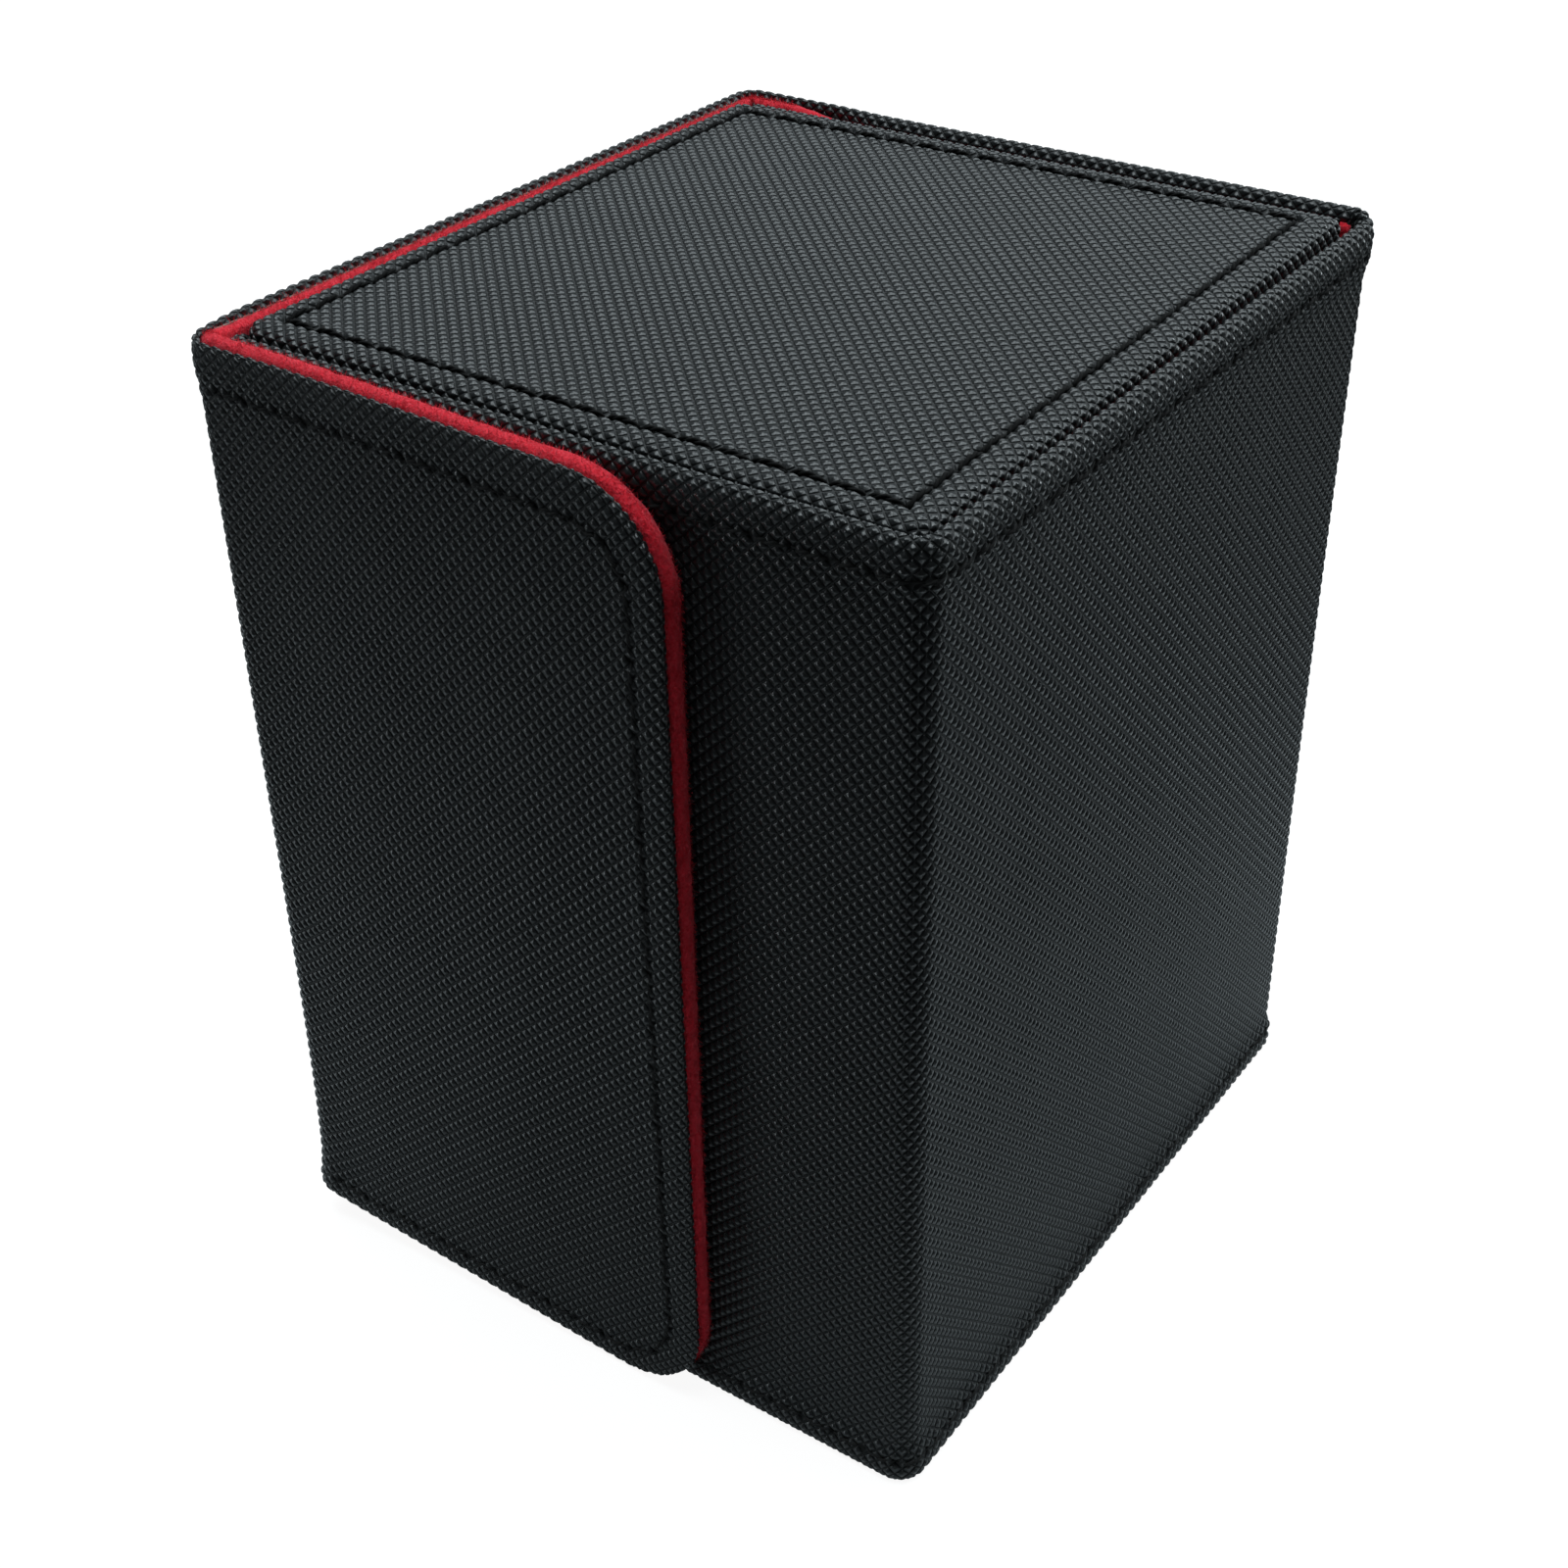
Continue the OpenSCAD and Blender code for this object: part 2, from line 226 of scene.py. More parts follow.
# ---- turned edges ----
def outside(u, v, lo, hi, radii):
    """How far each point is outside a rectangle with round left and right corners, and which way."""
    middle, half = (np.array(lo) + hi) / 2, (np.array(hi) - lo) / 2
    pu, pv = u - middle[0], v - middle[1]
    r = np.where(pu < 0, radii[0], radii[1])
    qu, qv = np.abs(pu) - half[0] + r, np.abs(pv) - half[1] + r
    corner = (qu > 0) & (qv > 0)
    length = np.where(corner, np.hypot(qu, qv), 1)
    side = qu >= qv
    nu = np.where(corner, qu / length, side) * np.sign(pu)
    nv = np.where(corner, qv / length, ~side) * np.sign(pv)
    return np.where(corner, length, np.maximum(qu, qv)) - r, nu, nv


def turned(out, radius, flat):
    """Where a sheet goes that is turned round an edge of two bends with a flat between them."""
    way = out + radius
    quarter = radius * np.pi / 2
    first = np.clip(way / radius, 0, np.pi / 2)
    between = np.clip(way - quarter, 0, flat)
    second = np.clip((way - quarter - flat) / radius, 0, np.pi / 2)
    past = np.maximum(way - 2 * quarter - flat, 0)
    along = np.minimum(out, -radius) + radius * (np.sin(first) - 1 + np.cos(second)) - past
    return along, radius * (1 - np.cos(first) + np.sin(second)) + between


def half_turn(radius, flat):
    """How far past an edge a sheet reaches once it has gone round both bends and the flat."""
    return (np.pi - 1) * radius + flat


def turn_edge(u, v, outline, radius, flat, reach):
    """New u and v, the depth, and how far past the sheet's end, where a sheet's edge is turned in."""
    out, nu, nv = outline
    along, depth = turned(np.minimum(out, reach), radius, flat)
    shift = along - out
    return u + shift * nu, v + shift * nv, depth, out - reach


def hem_face(inside, recess, seam=SEAM, sewn=1.0):
    """Depth of the outer face: a full hem, a dip at its seam, then the single sheet."""
    step = smooth((inside - seam - 0.1) / (HEM - SEAM + HEM_SLOPE))
    dip = sewn * SEAM_DIP * np.exp(-(((inside - seam) / SEAM_WIDTH) ** 2))
    crown = HEM_CROWN * smooth((inside - 0.7) / 1) * smooth((seam - inside) / 1.6)
    return recess * step + dip * (1 - 0.5 * step) - crown


def in_seam(inside, seam=SEAM, sewn=1.0):
    """How deep a point lies in its seam, from 0 to 1, for the material's painted shade along the seam.
    """
    return sewn * np.exp(-(((inside - seam) / SEAM_SHADE_WIDTH) ** 2))


def dimples(u, v, holes):
    """Depth added round the needle holes of a grid of points."""
    added = np.zeros_like(u)
    across, upward = u[:, 0], v[0]
    for hole_u, hole_v in holes:
        a, b = np.searchsorted(across, [hole_u - HOLE_REACH, hole_u + HOLE_REACH])
        c, d = np.searchsorted(upward, [hole_v - HOLE_REACH, hole_v + HOLE_REACH])
        away = (u[a:b, c:d] - hole_u) ** 2 + (v[a:b, c:d] - hole_v) ** 2
        added[a:b, c:d] += HOLE_DIP * np.exp(-away / HOLE_R**2)
    return added


# ---- meshes ----
def new_piece(name, points, faces, body, slot, replaces=(), normals=None, cells=None, finish=None):
    """Makes a mesh from points in millimetres and hangs it on its body where the body is one name; a
    piece given the bodies of a bend is left unhung.
    """
    mesh = bpy.data.meshes.new(name)
    size = faces.shape[1]
    mesh.vertices.add(len(points))
    mesh.vertices.foreach_set("co", (points * MM).astype(np.float32).ravel())
    mesh.loops.add(faces.size)
    mesh.loops.foreach_set("vertex_index", faces.astype(np.int32).ravel())
    mesh.polygons.add(len(faces))
    mesh.polygons.foreach_set("loop_start", np.arange(0, faces.size, size, dtype=np.int32))
    mesh.update(calc_edges=True)
    mesh.validate()
    mesh.shade_smooth()
    if normals is not None:
        mesh.normals_split_custom_set_from_vertices(normals)
    if cells is not None:
        layer = mesh.attributes.new("cells", "FLOAT_VECTOR", "POINT")
        layer.data.foreach_set("vector", cells.astype(np.float32).ravel())
    mesh.materials.append(MATERIALS[finish or slot])
    piece = bpy.data.objects.new(name, mesh)
    bpy.context.scene.collection.objects.link(piece)
    if replaces:
        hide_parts(*replaces)
    if isinstance(body, str):
        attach(piece, body)
    else:
        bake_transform(piece)


def surface_normals(points, flip):
    along_u = np.gradient(points, axis=0)
    along_v = np.gradient(points, axis=1)
    normal = np.cross(along_u, along_v) * flip
    length = np.linalg.norm(normal, axis=-1, keepdims=True)
    return normal / np.maximum(length, 1e-9)


def grid_faces(columns, rows, keep, flip, i, j):
    """Quads of a grid, or triangles split along the grooves where i is not None."""
    number = np.arange(columns * rows).reshape(columns, rows)
    corners = number[:-1, :-1], number[1:, :-1], number[1:, 1:], number[:-1, 1:]
    a, b, c, d = (corner[keep] for corner in corners)
    if i is None:
        quads = np.stack([a, b, c, d], -1)
        return quads if flip > 0 else quads[:, ::-1]
    ci, cj = np.meshgrid(i[:-1], j[:-1], indexing="ij")
    rising = (ci - cj) % STEPS == 0
    falling = (ci + cj + 1) % STEPS == 0
    use_rising = (rising | (~falling & ((ci + cj) % 2 == 1)))[keep][:, None]
    first = np.where(use_rising, np.stack([a, b, c], -1), np.stack([a, b, d], -1))
    second = np.where(use_rising, np.stack([a, c, d], -1), np.stack([b, c, d], -1))
    triangles = np.concatenate([first, second])
    return triangles if flip > 0 else triangles[:, ::-1]


def used_only(points, faces, *layers):
    """Drops the points that no face uses."""
    kept, faces_new = np.unique(faces, return_inverse=True)
    return [points[kept], faces_new.reshape(faces.shape)] + [layer[kept] for layer in layers]


def tube_faces(tubes, rings, sides):
    """Point numbers by tube, ring and side, and the quads of the tubes' walls."""
    number = np.arange(tubes * rings * sides).reshape(tubes, rings, sides)
    after = np.roll(number, -1, 2)
    quads = np.stack([number[:, :-1], after[:, :-1], after[:, 1:], number[:, 1:]], -1)
    return number, quads.reshape(-1, 4)


def grain_height(i, j):
    """Height of the emboss at each lattice point: grooves at 0 and the middle of a square at 1."""
    ci, cj = np.meshgrid(i, j, indexing="ij")
    rising, falling = (ci - cj) % STEPS, (ci + cj) % STEPS
    groove = (rising == 0) | (falling == 0)
    middle = (rising == STEPS // 2) & (falling == STEPS // 2)
    return np.where(groove, 0.0, np.where(middle, 1.0, GRAIN_SHOULDER))


def sheet(name, i, j, steps, place, shape, raised, body, slot, replaces, flip, lattice):
    """Sheet over columns i and rows j of a grid, made one step wider so that its normals are true.

    shape(u, v) gives each point's new u and v, its depth, how far it is past the sheet's end, and
    for leather how much painted shade it takes in a seam or needle hole, from 0 to 1. raised(i, j,
    u, v) gives how far each point stands along its normal. The emboss is too fine for the mesh
    alone: the leather keeps the plain sheet's normals, and its material reads the number of each
    embossed square and bends them.
    """
    wide_i = np.arange(i[0] - 1, i[-1] + 2)
    wide_j = np.arange(j[0] - 1, j[-1] + 2)
    u, v = np.meshgrid(wide_i * steps[0], wide_j * steps[1], indexing="ij")
    new_u, new_v, depth, past, *shade = shape(u, v)
    points = place(new_u, new_v, depth)
    normals = surface_normals(points, flip)
    points = points + normals * raised(wide_i, wide_j, u, v)[..., None]
    if not lattice:
        normals = surface_normals(points, flip)
    number_i, number_j = np.meshgrid(wide_i, wide_j, indexing="ij")
    shade = shade[0] if shade else np.zeros_like(u)
    # the third value is the painted shade of the seams and needle holes
    cells = np.stack([(number_i + number_j) / STEPS, (number_i - number_j) / STEPS, shade], -1)
    inner = (slice(1, -1), slice(1, -1))
    points, normals, cells, past = points[inner], normals[inner], cells[inner], past[inner]
    live = past < 0
    keep = live[:-1, :-1] | live[1:, :-1] | live[1:, 1:] | live[:-1, 1:]
    faces = grid_faces(len(i), len(j), keep, flip, i if lattice else None, j)
    parts = used_only(points.reshape(-1, 3), faces, normals.reshape(-1, 3), cells.reshape(-1, 3))
    new_piece(name, parts[0], parts[1], body, slot, replaces, parts[2], parts[3])


def emboss(i, j, u, v):
    uneven = 1 + GRAIN_UNEVEN * np.sin(u * 0.31 + v * 0.17) * np.sin(v * 0.23)
    return (grain_height(i, j) - 1) * GRAIN_DEPTH * uneven


def leather(name, i, j, steps, place, shape, body, replaces, flip=1):
    sheet(name, i, j, steps, place, shape, emboss, body, "leatherette", replaces, flip, True)


def fluff(i, j, u, v):
    """Uneven nap: random bumps, evened out a little."""
    bumps = random.standard_normal(u.shape)
    for axis in (0, 1):
        bumps = (np.roll(bumps, 1, axis) + 2 * bumps + np.roll(bumps, -1, axis)) / 3
    return NAP * bumps


def lining(name, u_span, v_span, place, shape, body, replaces, flip=-1):
    """Microfibre sheet over two spans of u and v."""
    i, j = (
        np.arange(int(np.floor(a / CLOTH)), int(np.ceil(b / CLOTH)) + 1) for a, b in (u_span, v_span)
    )
    steps = (CLOTH, CLOTH)
    sheet(name, i, j, steps, place, shape, fluff, body, "red_microfibre", replaces, flip, False)


# ---- sewing ----
def along_line(corners, spacing):
    """Points spaced evenly along a line through corners, from its start to its end."""
    corners = np.array(corners, float)
    way = np.concatenate([[0], np.cumsum(np.hypot(*np.diff(corners, axis=0).T))])
    count = max(1, round(way[-1] / spacing))
    at = np.linspace(0, way[-1], count + 1)
    return np.stack([np.interp(at, way, corners[:, k]) for k in (0, 1)], -1)


def stitches(name, rows, place, flip, body, replaces, finish="thread"):
    """Two-ply stitches between the holes of each row, sunk at both ends and arched between."""
    steps = np.linspace(0, 1, 15)
    starts, ends = [], []
    for holes in rows:
        step = np.diff(holes, axis=0)
        gap = (1 - STITCH_LENGTH / STITCH_PITCH) / 2
        starts.append(holes[:-1] + step * gap)
        ends.append(holes[1:] - step * gap)
    starts, ends = np.concatenate(starts), np.concatenate(ends)
    count = len(starts)
    line = starts[:, None] + (ends - starts)[:, None] * steps[:, None]
    line = line + random.normal(0, 0.06, (count, 1, 2)) * np.sin(np.pi * steps)[None, :, None]
    arch = np.sin(np.pi * steps) ** 0.5
    depth = STITCH_DEEP - (STITCH_DEEP - STITCH_HIGH) * arch + random.normal(0, 0.02, (count, 1))
    centre = place(line[..., 0], line[..., 1], depth)
    away = centre - place(line[..., 0], line[..., 1], depth + 1)
    along = np.gradient(centre, axis=1)
    along /= np.linalg.norm(along, axis=-1, keepdims=True)
    side = np.cross(along, away)
    side /= np.linalg.norm(side, axis=-1, keepdims=True)
    away = np.cross(side, along)
    twist = steps * 2 * np.pi * PLY_TURNS + random.uniform(0, 6, (count, 1))
    turn = np.linspace(0, 2 * np.pi, 6, endpoint=False)[:, None]
    ring = np.cos(turn) * side[:, :, None] + np.sin(turn) * away[:, :, None]
    tubes = []
    for ply in (0, np.pi):
        angle = (twist + ply)[..., None]
        middle = centre + PLY_OFFSET * (np.cos(angle) * side + np.sin(angle) * away)
        tubes.append(middle[:, :, None] + PLY_R * ring)
    points = np.concatenate(tubes)
    number, walls = tube_faces(*points.shape[:3])
    caps = [number[:, 0][:, [0, 3, 2, 1]], number[:, 0][:, [0, 5, 4, 3]],
            number[:, -1][:, [0, 1, 2, 3]], number[:, -1][:, [0, 3, 4, 5]]]
    faces = np.concatenate([walls] + caps)
    faces = faces if flip > 0 else faces[:, ::-1]
    new_piece(name, points.reshape(-1, 3), faces, body, "thread", replaces, finish=finish)


# ---- materials ----
MOST = (0.3, 0.7)  # most values of a noise lie between these


class Nodes:
    """Short hand for building one material's nodes."""

    def __init__(self, name):
        self.material = bpy.data.materials.new(name)
        self.material.use_nodes = True
        self.tree = self.material.node_tree
        self.shader = self.tree.nodes["Principled BSDF"]
        self.place = self.add("ShaderNodeTexCoord").outputs["Object"]

    def add(self, kind, **values):
        node = self.tree.nodes.new(kind)
        for key, value in values.items():
            if hasattr(value, "is_output"):
                self.tree.links.new(value, node.inputs[key.replace("_", " ")])
            elif hasattr(node, key):
                setattr(node, key, value)
            else:
                node.inputs[key.replace("_", " ")].default_value = value
        return node

    def noise(self, size, detail, roughness):
        """Noise with features of about this size in millimetres."""
        node = self.add("ShaderNodeTexNoise", Vector=self.place, Scale=1 / (size * MM), Detail=detail)
        node.inputs["Roughness"].default_value = roughness
        return node.outputs["Fac"]

    def ramp(self, fac, stops):
        node = self.add("ShaderNodeValToRGB", Fac=fac)
        while len(node.color_ramp.elements) < len(stops):
            node.color_ramp.elements.new(0.5)
        for element, (at, colour) in zip(node.color_ramp.elements, stops):
            element.position = at
            element.color = (*colour, 1)
        return node.outputs["Color"]

    def span(self, value, from_low, from_high, to_low, to_high):
        node = self.add("ShaderNodeMapRange", Value=value)
        node.inputs["From Min"].default_value = from_low
        node.inputs["From Max"].default_value = from_high
        node.inputs["To Min"].default_value = to_low
        node.inputs["To Max"].default_value = to_high
        return node.outputs["Result"]

    def smooth_span(self, value, from_low, from_high):
        node = self.add("ShaderNodeMapRange", Value=value, interpolation_type="SMOOTHSTEP")
        node.inputs["From Min"].default_value = from_low
        node.inputs["From Max"].default_value = from_high
        return node.outputs["Result"]

    def maths(self, operation, a, b):
        node = self.add("ShaderNodeMath")
        node.operation = operation
        for socket, value in zip(node.inputs, (a, b)):
            if hasattr(value, "is_output"):
                self.tree.links.new(value, socket)
            else:
                socket.default_value = value
        return node.outputs[0]

    def distance(self, place):
        node = self.add("ShaderNodeVectorMath", Vector=self.place, operation="DISTANCE")
        node.inputs[1].default_value = place
        return node.outputs["Value"]

    def mix(self, fac, a, b):
        node = self.add("ShaderNodeMix")
        node.data_type = "RGBA"
        for socket, value in ((node.inputs[0], fac), (node.inputs[6], a), (node.inputs[7], b)):
            if hasattr(value, "is_output"):
                self.tree.links.new(value, socket)
            else:
                socket.default_value = (*value, 1)
        return node.outputs[2]

    def bump(self, height, distance, strength=1.0):
        node = self.add("ShaderNodeBump", Height=height)
        node.inputs["Distance"].default_value = distance * MM
        node.inputs["Strength"].default_value = strength
        return node.outputs["Normal"]

    def finish(self, fixed, **linked):
        for socket, value in fixed.items():
            self.shader.inputs[socket].default_value = value
        for socket, value in linked.items():
            self.tree.links.new(value, self.shader.inputs[socket.replace("_", " ")])
        return self.material


def leatherette_material():
    n = Nodes("leatherette")
    cells = n.add("ShaderNodeAttribute")
    cells.attribute_name = "cells"
    across = n.add("ShaderNodeSeparateXYZ", Vector=cells.outputs["Vector"])
    to_groove = [n.maths("PINGPONG", across.outputs[k], 0.5) for k in (0, 1)]
    sides = n.maths("MULTIPLY", *(n.smooth_span(a, 0.02, GROOVE) for a in to_groove))
    dome = n.maths("MULTIPLY", *(n.smooth_span(a, 0, 0.5) for a in to_groove))
    pillow = n.maths("ADD", n.maths("MULTIPLY", sides, 0.4), n.maths("MULTIPLY", dome, 0.6))
    patches = n.noise(9, 4, 0.6)
    pores = n.noise(0.2, 3, 0.65)
    base = n.ramp(patches, [(0.3, (0.0072, 0.0094, 0.0106)), (0.7, (0.0115, 0.0138, 0.0150))])
    # painted shade of the seams and needle holes, read from the third value of cells
    seam = n.span(across.outputs[2], 0.1, 0.9, 0.0, 1.0)
    # painted shade: grooves and seams are darkened towards near black where the relief holds shade; the
    # same mask also roughens them and lowers their specular level
    painted_shade_mask = n.maths("MAXIMUM", n.span(sides, 0, 0.8, 0.7, 0.0), seam)
    colour = n.mix(painted_shade_mask, base, (0.0015, 0.0018, 0.002))
    rough = n.maths("ADD", n.span(patches, *MOST, 0.28, 0.34), n.span(pores, *MOST, -0.06, 0.10))
    rough = n.maths("ADD", rough, n.span(painted_shade_mask, 0, 1, 0.0, 0.3))
    gloss = n.span(painted_shade_mask, 0, 1, 0.6, 0.1)
    height = n.maths("ADD", n.maths("MULTIPLY", pillow, PILLOW), n.maths("MULTIPLY", pores, 0.04))
    # An exported model keeps the specular level that is set here, without its fall in the grooves
    return n.finish(
        {"Specular IOR Level": 0.5, "Sheen Weight": 0.03, "Sheen Roughness": 0.5},
        Base_Color=colour, Roughness=rough, Specular_IOR_Level=gloss, Normal=n.bump(height, 1.0),
    )


def thread_material(name, darkest, lightest):
    n = Nodes(name)
    fibres = n.noise(0.12, 3, 0.6)
    colour = n.ramp(fibres, [(0.3, (darkest,) * 3), (0.7, (lightest,) * 3)])
    return n.finish(
        {"Specular IOR Level": 0.1},
        Base_Color=colour,
        Roughness=n.span(fibres, *MOST, 0.68, 0.85),
        Normal=n.bump(fibres, 0.06, 0.6),
    )


def microfibre_material():
    n = Nodes("red_microfibre")
    nap = n.noise(0.22, 5, 0.75)
    tufts = n.noise(0.55, 4, 0.7)
    brushed = n.noise(3.5, 4, 0.6)
    reds = [(0.35, (0.85, 0.014, 0.028)), (0.5, (1.0, 0.026, 0.052)), (0.65, (1.0, 0.09, 0.125))]
    colour = n.mix(n.span(tufts, 0.38, 0.54, 0.4, 0.0), n.ramp(nap, reds), (0.60, 0.007, 0.016))
    colour = n.mix(n.span(brushed, *MOST, 0.0, 0.12), colour, (0.50, 0.007, 0.018))
    height = n.maths("ADD", n.maths("MULTIPLY", nap, 0.12), n.maths("MULTIPLY", tufts, 0.4))
    return n.finish(
        {"Specular IOR Level": 0.15, "Sheen Weight": 1.0, "Sheen Roughness": 0.4,
         "Sheen Tint": (1.0, 0.24, 0.28, 1)},
        Base_Color=colour, Roughness=n.span(nap, *MOST, 0.85, 1.0), Normal=n.bump(height, 1.0),
    )


def greyboard_material():
    n = Nodes("greyboard")
    pulp = n.noise(0.35, 6, 0.7)
    flecks = n.noise(1.6, 2, 0.4)
    base = n.ramp(pulp, [(0.3, (0.22, 0.20, 0.17)), (0.7, (0.34, 0.31, 0.27))])
    colour = n.mix(n.span(flecks, 0.64, 0.72, 0.0, 0.6), base, (0.12, 0.105, 0.09))
    return n.finish(
        {"Specular IOR Level": 0.2},
        Base_Color=colour,
        Roughness=n.span(pulp, *MOST, 0.85, 0.97),
        Normal=n.bump(pulp, 0.08, 0.6),
    )


def steel_material():
    n = Nodes("magnet_steel")
    scuffs = n.noise(1.2, 5, 0.65)
    colour = n.ramp(scuffs, [(0.35, (0.58, 0.58, 0.57)), (0.65, (0.72, 0.72, 0.71))])
    return n.finish(
        {"Metallic": 1.0},
        Base_Color=colour,
        Roughness=n.span(scuffs, *MOST, 0.2, 0.36),
        Normal=n.bump(scuffs, 0.01, 0.3),
    )


MATERIALS = {
    "leatherette": leatherette_material(),
    "thread": thread_material("thread", 0.0013, 0.0042),
    # painted light: the same black thread, made lighter so that it looks as bright as the lit leather
    # round it; used on the walls, the cover and the flap
    "thread_painted_lighter": thread_material("thread_painted_lighter", 0.012, 0.028),
    "red_microfibre": microfibre_material(),
    "greyboard": greyboard_material(),
    "magnet_steel": steel_material(),
}


# ---- the wrap, the side panel and the flap ----
WRAP_R, BACK_WRAP_R, PANEL_R, FLAP_R = 0.9, 1.15, COVER_SKIN / 2, 0.42  # of the turned edges
COVER_AHEAD, COVER_START = 12, 8  # the walls' edge turns into the cover's before the back fold
END_FLAT = 1.8  # how much thicker than its two bends the wrap's free end is
INNER_HEM = (0.3, 3.4)  # least and most leatherette that is turned down inside a wall's top edge
COVER_HEM = 0.9  # leatherette that is turned in behind the cover's edge
COVER_SEAM_UP = 0.3  # how much higher the cover's lower seam is than the walls'
WALL_HOLLOW = 0.18  # how far the walls' middles sink
BEND_DEPTH = 0.35
U_PANEL = U_BACK_FOLD + SPLIT - BEND + (FOLD_ARC + 2 * (BEND - FOLD_R))
U_PANEL_END = U_FLAP - FOLD_ARC - BEND + FOLD_R


def flap_seam(nv):
    """How far the flap's seam is from its edge: most at the top and least at the foot."""
    return SEAM + np.where(nv > 0, FLAP_TOP_SEAM - SEAM, FLAP_FOOT_SEAM - SEAM) * nv**2


def flap_arc(middle, first, last):
    angles = np.radians(np.linspace(first, last, 7))
    radii = FLAP_CORNER_R - flap_seam(np.sin(angles))
    return [(middle[0] + r * np.cos(a), middle[1] + r * np.sin(a)) for r, a in zip(radii, angles)]


def flap_seam_line():
    end, top = LOOP.length - FLAP_CORNER_R, BACK_RIM - FLAP_CORNER_R
    line = [(U_FLAP + 1, BACK_RIM - FLAP_TOP_SEAM)] + flap_arc((end, top), 90, 0)
    return line + flap_arc((end, FLAP_CORNER_R), 0, -90) + [(U_FLAP + 1, FLAP_FOOT_SEAM)]


TOP_SEAM = BACK_RIM - SEAM
U_WALLS_START, U_WALLS_END = 1.6, U_BACK_FOLD + SPLIT - 4
WALL_ROWS_SEWN = [
    along_line([(U_WALLS_START, z), (U_WALLS_END, z)], STITCH_PITCH)
    for z in (TOP_SEAM, FOOT_SEAM_WALL)
]
PANEL_ROWS_SEWN = [
    along_line([(U_PANEL, z), (U_PANEL_END, z)], STITCH_PITCH)
    for z in (TOP_SEAM, FOOT_SEAM_WALL + COVER_SEAM_UP)
]
FLAP_ROWS_SEWN = [along_line(flap_seam_line(), STITCH_PITCH)]
LOOP_HOLES = np.concatenate(WALL_ROWS_SEWN + PANEL_ROWS_SEWN + FLAP_ROWS_SEWN)


def cover_radius(u):
    return PANEL_R + (FLAP_R - PANEL_R) * into_flap(u)


def loop_shape(u, v):
    """Outline, turned edges and hems of the leatherette round the box."""
    cover = smooth((u - U_BACK_FOLD + COVER_AHEAD) / COVER_START)
    outline = outside(u, v, (0, 0), (LOOP.length, BACK_RIM), (PLAIN_R, FLAP_CORNER_R))
    out, nu, nv = outline
    back = smooth((u - U_BACK_CORNER - 1) / 3)
    wall_radius = WRAP_R + (BACK_WRAP_R - WRAP_R) * back * (nv > 0)
    radius = wall_radius + (cover_radius(u) - wall_radius) * cover
    end_flat = END_FLAT * np.where(nu < 0, nu * nu, 0)
    hem = np.where(nv > 0, np.clip(u - PLAIN_R, *INNER_HEM), INNER_HEM[0])
    hem = hem + (COVER_HEM - hem) * cover
    reach = half_turn(radius, end_flat) + hem
    new_u, new_v, depth, past = turn_edge(u, v, outline, radius, end_flat, reach)
    seam = np.where(nv < 0, FOOT_SEAM_WALL + COVER_SEAM_UP * cover, SEAM)
    seam = seam + (flap_seam(nv) - seam) * into_flap(u)
    sewn = np.where(nu < 0, 0, LOOP_SEAM)
    recess = WALL_RECESS + (COVER_RECESS - WALL_RECESS) * cover
    face = hem_face(np.maximum(-out, 0), recess, seam, sewn)
    holes = dimples(u, v, LOOP_HOLES)
    depth = depth + np.where(out < 0, face, 0) + holes
    depth = depth + WALL_HOLLOW * np.sin(np.pi * np.clip(v / BACK_RIM, 0, 1)) * (1 - cover)
    # painted shade along the seam and in the needle holes
    return new_u, new_v, depth, past, in_seam(-out, seam, sewn) + holes / HOLE_DIP


def lattice(u):
    return int(round(u / COLUMN))


def metres(x, y, z):
    return tuple(float(a) * MM for a in (x, y, z))


def fold_ends(y, way, from_panel):
    """Where the bend at a fold starts and ends, on the diagonal across the corner."""
    middle = BACK_RIM / 2
    on_wall = metres(LEFT + BEND, y + way * BEND_DEPTH, middle)
    on_panel = metres(LEFT + BEND_DEPTH, y + way * BEND, middle)
    return (on_panel, on_wall) if from_panel else (on_wall, on_panel)


TOP_ROW = round(BACK_RIM / ROW)
WRAP_ROWS = np.arange(-6, TOP_ROW + 16)  # with rows below the foot and above the top, to be turned
COVER_ROWS = np.arange(-8, TOP_ROW + 9)
BACK_FOLD = ("box", "side_panel", *fold_ends(BACK, -1, False))
FRONT_FOLD = ("side_panel", "flap", *fold_ends(FRONT, 1, True))

END_COLUMNS = 9  # columns beyond either end of the leatherette, for its turned edge
SPLITS = [lattice(u) for u in (U_FRONT_CORNER, U_BACK_CORNER, U_BACK_FOLD, U_FRONT_FOLD)]
SPLITS = [-END_COLUMNS] + SPLITS + [lattice(LOOP.length) + END_COLUMNS]
LOOP_PIECES = [
    ("front_wall_leather", WRAP_ROWS, "box", ["front_wall_skin"]),
    ("right_wall_leather", WRAP_ROWS, "box", ["right_wall_skin"]),
    ("back_wall_leather", WRAP_ROWS, "box", ["back_wall_skin"]),
    ("side_panel_leather", COVER_ROWS, BACK_FOLD, ["side_panel_skin", "back_fold_skin"]),
    ("flap_leather", COVER_ROWS, FRONT_FOLD, ["flap_skin", "front_fold_skin"]),
]
for first, last, (name, rows, body, replaced) in zip(SPLITS, SPLITS[1:], LOOP_PIECES):
    columns = np.arange(first, last + 1)
    leather(name, columns, rows, (COLUMN, ROW), on_loop, loop_shape, body, replaced)
for name, rows, body in [
    ("wall", WALL_ROWS_SEWN, "box"),
    ("side_panel", PANEL_ROWS_SEWN, "side_panel"),
    ("flap", FLAP_ROWS_SEWN, "flap"),
]:
    # their thread is the copy painted lighter
    stitches(name + "_thread", rows, on_loop, 1, body, [name + "_stitching"], "thread_painted_lighter")

